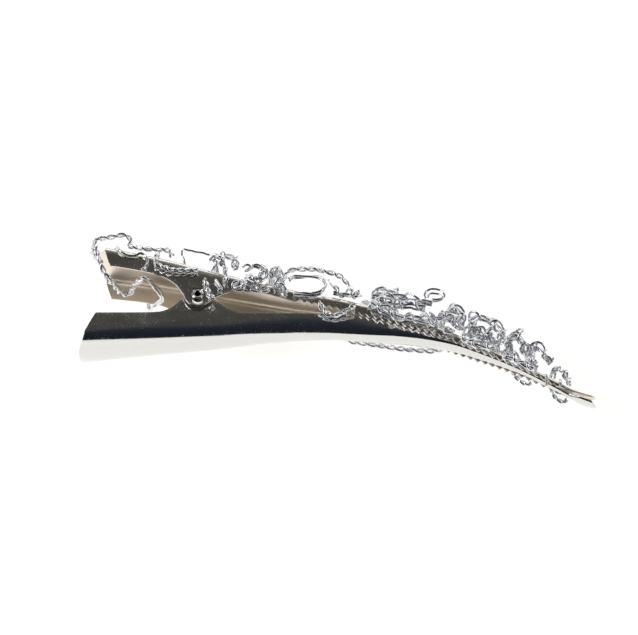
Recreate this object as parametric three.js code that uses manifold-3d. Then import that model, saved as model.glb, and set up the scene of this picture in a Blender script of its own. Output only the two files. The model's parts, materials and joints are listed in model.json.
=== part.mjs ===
// Alligator hair clip: two pressed sheet-steel levers on a hollow rivet with a torsion spring,
// the upper lever dressed with craft wire. Millimetres, +Z up.
// The clip lies on its side: X runs from the thumb pads to the tip, Y from the lower lever to
// the dressed upper one, and Z is the hinge axis.
import * as THREE from "three";
import { mergeVertices } from "three/addons/utils/BufferGeometryUtils.js";
import Module from "manifold-3d";

const wasm = await Module();
wasm.setup();

// ---- Driving dimensions ----
const JAW_LENGTH = 98.7; // pivot to the tip
const UPPER_HANDLE = 25.0; // pivot to the end of the upper thumb pad
const LOWER_HANDLE = 29.5; // pivot to the end of the lower thumb pad
const JAW_DROP = 28.6; // fall of the bite line from the pivot to the tip
const PIVOT_WIDTH = 12.62; // outside width of the upper lever at the pivot
const TAPER = 0.108; // width lost per millimetre towards the tip
const TIP_WIDTH = 2.9; // width of the lips
const TIP_ROUND = 0.9; // how far the tip's corners are drawn back
const TIP_FROM = 0.95; // share of the jaw's length where that begins
const SHEET = 0.5; // thickness of the pressed steel
const SIDE_GAP = 0.35; // clear space between the two levers' walls at the teeth
const EAR_SLACK = 0.45; // more of it at the ears and thumb pads
const SHOULDER = 1.7; // outer bend radius of the upper lever
const PIVOT_ROOF = 9.0; // roof of the upper lever above the pivot
const HANDLE_RISE = 5.7; // roof at the thumb pad above the roof at the pivot
const HANDLE_WALL = 6.1; // height of the upper wall at the thumb pad
const JAW_WALL = 4.2; // height of the upper wall over the first teeth
const LOWER_WALL = 5.9; // flat part of the lower wall at the thumb pad
const LOWER_EDGE = 5.3; // lower wall's top edge below the pivot, at the thumb pad
const THROAT_EDGE = 4.0; // the same in the throat
const BELLY = 3.0; // depth of the lower lever's rounded bottom at the thumb pad
const NEST = 0.7; // how far the lower wall stands up behind the teeth
const EAR_RADIUS = 3.4; // upper lever's ear, round the pivot
const INNER_EAR = 2.9; // lower lever's ear, round the pivot
const TOOTH_PITCH = 1.8;
const TOOTH_HEIGHT = 0.95;
const EYELET_BORE = 0.8; // radius of the hole through the rivet
const EYELET_BARREL = 1.1; // radius of the rivet's barrel
const EYELET_FLANGE = 1.5; // radius of the rolled ends
const FLANGE_HEIGHT = 0.35;
const PIVOT_CLEARANCE = 0.2; // radial, barrel in the ears
const END_FLOAT = 0.3; // flange to ear
const SPRING_WIRE = 0.7;
const SPRING_TURNS = 3;
const SPRING_CLEARANCE = 0.35; // coil on the barrel
const SPRING_REACH = 5.0; // how far the legs lean towards the thumb pads
const STRAND = 0.7; // craft wire
const WIRE_GAP = 0.3; // wire to metal, and metal to metal where pieces touch

// ---- Curves of one variable ----
// Eases from 0 to 1 as t does.
const smooth = (t) => {
  const u = Math.max(0, Math.min(1, t));
  return u * u * (3 - 2 * u);
};
// Smooth curve through [x, y] pairs that never overshoots between them (monotone Hermite).
function curveThrough(points) {
  const slopes = points.slice(1).map(([x, y], i) => (y - points[i][1]) / (x - points[i][0]));
  const tangents = points.map((_, i) => {
    if (i === 0) return slopes[0];
    if (i === points.length - 1) return slopes[i - 1];
    const before = slopes[i - 1];
    const after = slopes[i];
    return before * after <= 0 ? 0 : (2 * before * after) / (before + after);
  });
  return (x) => {
    let i = 0;
    while (i < points.length - 2 && x > points[i + 1][0]) i += 1;
    const [x0, y0] = points[i];
    const [x1, y1] = points[i + 1];
    const h = x1 - x0;
    const u = (x - x0) / h;
    if (u <= 0) return y0 + tangents[i] * (x - x0);
    if (u >= 1) return y1 + tangents[i + 1] * (x - x1);
    return (2 * u ** 3 - 3 * u ** 2 + 1) * y0 + (u ** 3 - 2 * u ** 2 + u) * h * tangents[i]
      + (3 * u ** 2 - 2 * u ** 3) * y1 + (u ** 3 - u ** 2) * h * tangents[i + 1];
  };
}
// A curve whose points are shares of the jaw's length and of a height.
const jawCurve = (pairs, height) => curveThrough(pairs.map(([f, g]) => [f * JAW_LENGTH, g * height]));

// ---- Lines that both levers follow, as functions of x ----
const TEETH_FROM = 0.25 * JAW_LENGTH;
const TEETH_TO = 0.9 * JAW_LENGTH;
const LIP_FROM = 0.95 * JAW_LENGTH;
const bite = jawCurve([[0.2, 0.004], [0.25, 0.04], [0.4, 0.158], [0.5, 0.248], [0.6, 0.357],
  [0.7, 0.506], [0.8, 0.664], [0.9, 0.853], [0.95, 0.95], [1, 1]], -JAW_DROP);
const jawWall = jawCurve([[0.25, 0.95], [0.38, 1.05], [0.46, 1.05], [0.66, 0.84], [0.86, 0.58],
  [0.93, 0.48], [1, 0.4]], JAW_WALL);
const narrowing = jawCurve([[0.7, 0], [0.8, 0], [0.9, 0.55], [1, 1]], 1);

// Half the outside width: a straight taper, easing into the lips.
function halfUpper(x) {
  const straight = (PIVOT_WIDTH - TAPER * x) / 2;
  const ease = x > 0.8 * JAW_LENGTH ? narrowing(x) : 0;
  return straight + ease * (TIP_WIDTH / 2 - (PIVOT_WIDTH - TAPER * JAW_LENGTH) / 2);
}
const lipWidening = jawCurve([[0.91, 0], [0.93, 0], [0.965, 1], [1, 1]], 1);
function halfLower(x) {
  const slack = EAR_SLACK * (1 - smooth((x / JAW_LENGTH - 0.1) / 0.3));
  const behindTeeth = halfUpper(x) - SHEET - SIDE_GAP - slack;
  return behindTeeth + (x > 0.93 * JAW_LENGTH ? lipWidening(x) : 0) * (SHEET + SIDE_GAP);
}

// Upper lever: roof line, and lower edge of its walls without the teeth.
const roofBehind = curveThrough([[-UPPER_HANDLE, PIVOT_ROOF + HANDLE_RISE],
  [-0.54 * UPPER_HANDLE, PIVOT_ROOF + 0.605 * HANDLE_RISE],
  [-0.19 * UPPER_HANDLE, PIVOT_ROOF + 0.246 * HANDLE_RISE], [0, PIVOT_ROOF],
  [0.12 * JAW_LENGTH, 0.66 * PIVOT_ROOF], [TEETH_FROM, bite(TEETH_FROM) + jawWall(TEETH_FROM)]]);
const roof = (x) => (x < TEETH_FROM ? roofBehind(x) : bite(x) + jawWall(x));
const upperEdgeBehind = curveThrough([
  [-UPPER_HANDLE, roof(-UPPER_HANDLE) - HANDLE_WALL],
  [-0.54 * UPPER_HANDLE, roof(-0.54 * UPPER_HANDLE) - 0.95 * HANDLE_WALL],
  [-3.1 * EAR_RADIUS, 1.74 * EAR_RADIUS], [-2.55 * EAR_RADIUS, 1.53 * EAR_RADIUS],
  [-2.0 * EAR_RADIUS, 1.18 * EAR_RADIUS], [-1.6 * EAR_RADIUS, 0.82 * EAR_RADIUS],
  [-1.25 * EAR_RADIUS, 0.29 * EAR_RADIUS], [-1.02 * EAR_RADIUS, -0.1 * EAR_RADIUS],
  [-0.9 * EAR_RADIUS, -0.44 * EAR_RADIUS], [-0.7 * EAR_RADIUS, -0.714 * EAR_RADIUS],
  [-0.4 * EAR_RADIUS, -0.917 * EAR_RADIUS], [0, -EAR_RADIUS],
  [0.4 * EAR_RADIUS, -0.917 * EAR_RADIUS], [0.7 * EAR_RADIUS, -0.714 * EAR_RADIUS],
  [1.3 * EAR_RADIUS, -0.2 * EAR_RADIUS], [1.9 * EAR_RADIUS, 0.15 * EAR_RADIUS],
  [2.4 * EAR_RADIUS, 0.36 * EAR_RADIUS], [3.2 * EAR_RADIUS, 0.46 * EAR_RADIUS],
  [0.16 * JAW_LENGTH, 0.36 * EAR_RADIUS], [TEETH_FROM, bite(TEETH_FROM)]]);
function upperEdge(x) {
  if (x < TEETH_FROM) return upperEdgeBehind(x);
  if (x < TEETH_TO) return bite(x);
  const lip = Math.min(1, (x - TEETH_TO) / (LIP_FROM - TEETH_TO));
  return bite(x) + lip * (roof(x) - 1.3 * SHEET - bite(x));
}

// Lower lever: top edge of its walls, the line where its bottom starts to curve, and its depth.
const lowerEdgeBehind = curveThrough([[-LOWER_HANDLE, -1.05 * LOWER_EDGE],
  [-0.49 * LOWER_HANDLE, -0.94 * LOWER_EDGE], [-3.4 * INNER_EAR, -1.6 * INNER_EAR],
  [-2.35 * INNER_EAR, -1.18 * INNER_EAR], [-1.69 * INNER_EAR, -0.52 * INNER_EAR],
  [-1.2 * INNER_EAR, -0.05 * INNER_EAR], [-0.97 * INNER_EAR, 0.3 * INNER_EAR],
  [-0.8 * INNER_EAR, 0.6 * INNER_EAR], [-0.45 * INNER_EAR, 0.89 * INNER_EAR], [0, INNER_EAR],
  [0.45 * INNER_EAR, 0.89 * INNER_EAR], [0.8 * INNER_EAR, 0.6 * INNER_EAR],
  [0.97 * INNER_EAR, 0.3 * INNER_EAR], [1.2 * INNER_EAR, 0.05 * INNER_EAR],
  [1.95 * INNER_EAR, -0.57 * INNER_EAR], [2.5 * INNER_EAR, -0.95 * INNER_EAR],
  [3.05 * INNER_EAR, -1.24 * INNER_EAR], [3.7 * INNER_EAR, -1.42 * INNER_EAR],
  [0.13 * JAW_LENGTH, -1.02 * THROAT_EDGE], [0.3 * JAW_LENGTH, -0.98 * THROAT_EDGE],
  [0.385 * JAW_LENGTH, -1.06 * THROAT_EDGE], [0.44 * JAW_LENGTH, bite(0.44 * JAW_LENGTH) + NEST]]);
const belly = curveThrough([[-LOWER_HANDLE, 0.97 * BELLY], [-0.5 * LOWER_HANDLE, 1.08 * BELLY],
  [0, BELLY], [0.08 * JAW_LENGTH, 0.97 * BELLY], [0.16 * JAW_LENGTH, 1.15 * BELLY],
  [0.25 * JAW_LENGTH, 1.27 * BELLY], [0.36 * JAW_LENGTH, 1.27 * BELLY],
  [0.44 * JAW_LENGTH, 0.88 * BELLY], [0.5 * JAW_LENGTH, 0.62 * BELLY],
  [0.6 * JAW_LENGTH, 0.33 * BELLY], [0.8 * JAW_LENGTH, 0.2 * BELLY], [JAW_LENGTH, 0.2 * BELLY]]);
const bottomOfJaw = jawCurve([[0.25, 2.6], [0.36, 1.78], [0.44, 1.33], [0.5, 0.93], [0.59, 0.43],
  [0.684, -0.03], [0.78, -0.1], [0.93, 0.12], [1, 0.42]], BELLY);
const creaseBehind = curveThrough([[-LOWER_HANDLE, -LOWER_EDGE - LOWER_WALL],
  [-0.5 * LOWER_HANDLE, -0.84 * (LOWER_EDGE + LOWER_WALL)], [0, -0.75 * (LOWER_EDGE + LOWER_WALL)],
  [0.07 * JAW_LENGTH, -0.7 * (LOWER_EDGE + LOWER_WALL)],
  [0.16 * JAW_LENGTH, -0.55 * (LOWER_EDGE + LOWER_WALL)],
  [TEETH_FROM, bite(TEETH_FROM) - bottomOfJaw(TEETH_FROM) + belly(TEETH_FROM)]]);
const crease = (x) => (x < TEETH_FROM ? creaseBehind(x) : bite(x) - bottomOfJaw(x) + belly(x));
function lowerEdge(x) {
  const edge = x < 0.44 * JAW_LENGTH ? lowerEdgeBehind(x) : bite(x) + NEST;
  const lip = Math.max(0, Math.min(1, (x - TEETH_TO) / (LIP_FROM - TEETH_TO)));
  const least = crease(x) + 0.3 * SHEET;
  return Math.max(least, edge + lip * (least - edge));
}

// ---- Shapes ----
// Solid of a closed ring of points carried from station to station. Each ring holds the outer
// line and then the inner line backwards, so the ends close as a strip between the two.
function channel(rings) {
  const n = rings[0].length;
  const position = rings.flat().flatMap((p) => [p.x, p.y, p.z]);
  const index = [];
  const quad = (a, b, c, d) => index.push(a, c, b, a, d, c);
  for (let i = 0; i < rings.length - 1; i += 1) {
    for (let j = 0; j < n; j += 1) {
      const k = (j + 1) % n;
      quad(i * n + j, i * n + k, (i + 1) * n + k, (i + 1) * n + j);
    }
  }
  const last = (rings.length - 1) * n;
  for (let j = 0; j < n / 2 - 1; j += 1) {
    quad(n - 1 - j, n - 2 - j, j + 1, j);
    quad(last + j, last + j + 1, last + n - 2 - j, last + n - 1 - j);
  }
  const geometry = new THREE.BufferGeometry();
  geometry.setAttribute("position", new THREE.Float32BufferAttribute(position, 3));
  geometry.setIndex(index);
  return geometry;
}

function solidOf(geometry) {
  const bare = geometry.clone();
  bare.deleteAttribute("normal");
  bare.deleteAttribute("uv");
  const merged = mergeVertices(bare);
  return new wasm.Manifold(new wasm.Mesh({
    numProp: 3,
    vertProperties: merged.attributes.position.array,
    triVerts: new Uint32Array(merged.index.array),
  }));
}

function geometryOf(solid) {
  const mesh = solid.getMesh();
  const geometry = new THREE.BufferGeometry();
  geometry.setAttribute("position", new THREE.BufferAttribute(mesh.vertProperties, 3));
  geometry.setIndex(new THREE.BufferAttribute(mesh.triVerts, 1));
  return geometry;
}

// Both levers have one round hole through both ears, on the hinge axis.
function boreForPivot(geometry) {
  const drill = new THREE.CylinderGeometry(EYELET_BARREL + PIVOT_CLEARANCE,
    EYELET_BARREL + PIVOT_CLEARANCE, 2 * PIVOT_WIDTH, 24);
  drill.rotateX(Math.PI / 2);
  return geometryOf(solidOf(geometry).subtract(solidOf(drill)));
}

// Evenly spaced numbers from a to b, without b.
const spaced = (a, b, step) => {
  const count = Math.max(1, Math.round((b - a) / step));
  return Array.from({ length: count }, (_, i) => a + ((b - a) * i) / count);
};
// Where a point of a lever's section lies along it. The thumb pad's end is round in plan and
// slanted down the wall, and the tip is round in plan. across runs from -1 to 1 over the roof or
// bottom, down from 0 to 1 on the wall.
function padEnd(x, handle, across, down, roundness, slant) {
  const pad = smooth((-x - 0.5 * handle) / (0.5 * handle));
  const tip = smooth((x / JAW_LENGTH - TIP_FROM) / (1 - TIP_FROM));
  return x + pad * (roundness * across * across + slant * down) - tip * TIP_ROUND * across * across;
}

// ---- Upper lever ----
// Outer bend radius of the shoulders: tighter where the walls are low.
const shoulderAt = (x) => Math.min(SHOULDER, 1.2 * SHEET + 0.3 * (roof(x) - upperEdge(x)));
const UPPER_ROUND = 1.6; // the roof's end, at the shoulders
const UPPER_SLANT = 1.25; // the wall's end, at its lower edge
const ROOF_ACROSS = [0.55, 0, -0.55];
const tooth = (x) => {
  const phase = (x - TEETH_FROM) / TOOTH_PITCH;
  return TOOTH_HEIGHT * 2 * Math.abs(phase - Math.round(phase));
};

function upperSection(x) {
  const bend = shoulderAt(x);
  const at = (across, down, inset, place) => {
    const px = padEnd(x, UPPER_HANDLE, across, down, UPPER_ROUND, UPPER_SLANT);
    return place(px, halfUpper(px) - inset, roof(px) - inset);
  };
  const line = (inset) => {
    const radius = Math.max(bend - inset, 0.1);
    const points = [];
    for (const side of [1, -1]) {
      const half = [];
      half.push(at(side, 1, inset, (px, h) => {
        const notch = px > TEETH_FROM && px < TEETH_TO ? tooth(px) : 0;
        const edge = Math.min(upperEdge(px) + notch, roof(px) - bend);
        return new THREE.Vector3(px, edge, side * h);
      }));
      for (const angle of [0, Math.PI / 4, Math.PI / 2]) {
        half.push(at(side, 0, inset, (px, h, top) => new THREE.Vector3(px,
          top - radius + radius * Math.sin(angle), side * (h - radius + radius * Math.cos(angle)))));
      }
      if (side === 1) points.push(...half);
      else points.push(...half.reverse());
      if (side === 1) {
        for (const across of ROOF_ACROSS) {
          points.push(at(across, 0, inset, (px, h, top) => new THREE.Vector3(px, top,
            across * (h - radius))));
        }
      }
    }
    return points;
  };
  return [...line(0), ...line(SHEET).reverse()];
}

function upperLever() {
  const toothCount = Math.round((TEETH_TO - TEETH_FROM) / TOOTH_PITCH);
  const stations = [
    ...spaced(-UPPER_HANDLE, -2.6 * EAR_RADIUS, 2.4),
    ...spaced(-2.6 * EAR_RADIUS, -1.3 * EAR_RADIUS, 0.9),
    ...spaced(-1.3 * EAR_RADIUS, -0.7 * EAR_RADIUS, 0.4),
    ...spaced(-0.7 * EAR_RADIUS, 1.4 * EAR_RADIUS, 0.8),
    ...spaced(1.4 * EAR_RADIUS, 3.2 * EAR_RADIUS, 1.5),
    ...spaced(3.2 * EAR_RADIUS, TEETH_FROM, 3),
    ...Array.from({ length: 2 * toothCount }, (_, i) => TEETH_FROM + (i * TOOTH_PITCH) / 2),
    ...spaced(TEETH_FROM + toothCount * TOOTH_PITCH, JAW_LENGTH, 1.2),
    JAW_LENGTH,
  ];
  return boreForPivot(channel(stations.map(upperSection)));
}

// ---- Lower lever ----
const LOWER_ROUND = 1.5; // the bottom's end, at the sides
const LOWER_SLANT = 2.6; // the wall's end, at its top edge
const BELLY_STEPS = 8;

function lowerSection(x) {
  const at = (across, down, place) => place(padEnd(x, LOWER_HANDLE, across, down, LOWER_ROUND,
    LOWER_SLANT));
  const line = (inset) => {
    const points = [];
    points.push(at(1, 1, (px) => new THREE.Vector3(px, lowerEdge(px), halfLower(px) - inset)));
    for (let i = 0; i <= BELLY_STEPS; i += 1) {
      const turn = (Math.PI * i) / BELLY_STEPS;
      points.push(at(Math.cos(turn), 0, (px) => new THREE.Vector3(px,
        crease(px) - Math.max(belly(px) - inset, 0.1) * Math.sin(turn),
        Math.max(halfLower(px) - inset, 0.12) * Math.cos(turn))));
    }
    points.push(at(-1, 1, (px) => new THREE.Vector3(px, lowerEdge(px), inset - halfLower(px))));
    return points;
  };
  return [...line(0), ...line(SHEET).reverse()].reverse();
}

function lowerLever() {
  const stations = [
    ...spaced(-LOWER_HANDLE, -3.0 * INNER_EAR, 2.6),
    ...spaced(-3.0 * INNER_EAR, -1.3 * INNER_EAR, 0.9),
    ...spaced(-1.3 * INNER_EAR, 1.3 * INNER_EAR, 0.45),
    ...spaced(1.3 * INNER_EAR, 4 * INNER_EAR, 1.3),
    ...spaced(4 * INNER_EAR, TEETH_TO, 3),
    ...spaced(TEETH_TO, JAW_LENGTH, 1.2),
    JAW_LENGTH,
  ];
  return boreForPivot(channel(stations.map(lowerSection)));
}

// ---- Hinge rivet and spring ----
// Hollow eyelet: a thin barrel with both ends rolled out over the ears.
function hingeRivet() {
  const ear = halfUpper(0) + END_FLOAT;
  const end = ear + FLANGE_HEIGHT;
  const round = 0.35 * FLANGE_HEIGHT;
  const half = [[EYELET_BARREL, ear], [EYELET_FLANGE, ear], [EYELET_FLANGE, end - round],
    [EYELET_FLANGE - round, end], [EYELET_BORE + round, end], [EYELET_BORE, end - round]];
  const mirrored = half.map(([r, z]) => [r, -z]).reverse();
  const profile = [...half, ...mirrored, half[0]].map(([r, z]) => new THREE.Vector2(r, z));
  return new THREE.LatheGeometry(profile, 20).rotateX(Math.PI / 2);
}

// Round bar along a path, closed at both ends.
function bar(points, radius, step, sides) {
  const path = new THREE.CatmullRomCurve3(points, false, "centripetal");
  const section = new THREE.Shape();
  for (let i = 0; i <= sides; i += 1) {
    const angle = (2 * Math.PI * i) / sides;
    const x = radius * Math.cos(angle);
    const y = radius * Math.sin(angle);
    if (i === 0) section.moveTo(x, y);
    else section.lineTo(x, y);
  }
  path.arcLengthDivisions = 20 * points.length;
  return new THREE.ExtrudeGeometry(section, {
    steps: Math.max(2, Math.round(path.getLength() / step)),
    bevelEnabled: false,
    extrudePath: path,
  });
}

// The spring's coil runs round the barrel; its legs press the roof and the belly apart.
function torsionSpring() {
  const radius = EYELET_BARREL + SPRING_CLEARANCE + SPRING_WIRE / 2;
  const pitch = SPRING_WIRE + 0.2;
  const start = -0.5 * SPRING_TURNS * pitch;
  const points = [];
  const steps = 8 * SPRING_TURNS;
  for (let i = 0; i <= steps; i += 1) {
    const angle = Math.PI + (2 * Math.PI * i * SPRING_TURNS) / steps;
    points.push(new THREE.Vector3(radius * Math.cos(angle), radius * Math.sin(angle),
      start + (pitch * SPRING_TURNS * i) / steps));
  }
  const clear = SHEET + WIRE_GAP + SPRING_WIRE / 2;
  const top = roof(-SPRING_REACH) - clear;
  const bottom = crease(-SPRING_REACH) - belly(-SPRING_REACH) + clear;
  points.unshift(new THREE.Vector3(-SPRING_REACH, top, start));
  points.push(new THREE.Vector3(-SPRING_REACH, bottom, -start));
  return bar(points, SPRING_WIRE / 2, 1, 6);
}

// ---- Craft wire on the upper lever ----
// Places are told from the lever itself. along is a share in percent of the jaw, or of the
// handle when negative. over stands a point above the roof, at a share of the half width;
// beside stands it next to a wall, so far down from the roof line.
const along = (p) => (p * (p < 0 ? UPPER_HANDLE : JAW_LENGTH)) / 100;
function placing(radius) {
  const stand = radius + WIRE_GAP;
  return {
    over: (p, across, lift) => {
      const x = along(p);
      return new THREE.Vector3(x, roof(x) + lift, across * halfUpper(x));
    },
    beside: (p, down, side = 1) => {
      const x = along(p);
      return new THREE.Vector3(x, roof(x) - down, side * (halfUpper(x) + stand));
    },
    corner: (p, side = 1) => {
      const x = along(p);
      const out = (shoulderAt(x) + stand) * Math.SQRT1_2 - shoulderAt(x);
      return new THREE.Vector3(x, roof(x) + out, side * (halfUpper(x) + out));
    },
    ring: (p, lift, wide, high, outward, from, turn) => {
      const x = along(p);
      const count = 12;
      return Array.from({ length: count + 1 }, (_, i) => {
        const angle = ((from + (turn * i) / count) * Math.PI) / 180;
        return new THREE.Vector3(x + wide * Math.cos(angle), roof(x) + lift + high * Math.sin(angle),
          halfUpper(x) + outward);
      });
    },
  };
}
const SINGLE = STRAND / 2;
const PAIR = STRAND;

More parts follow.
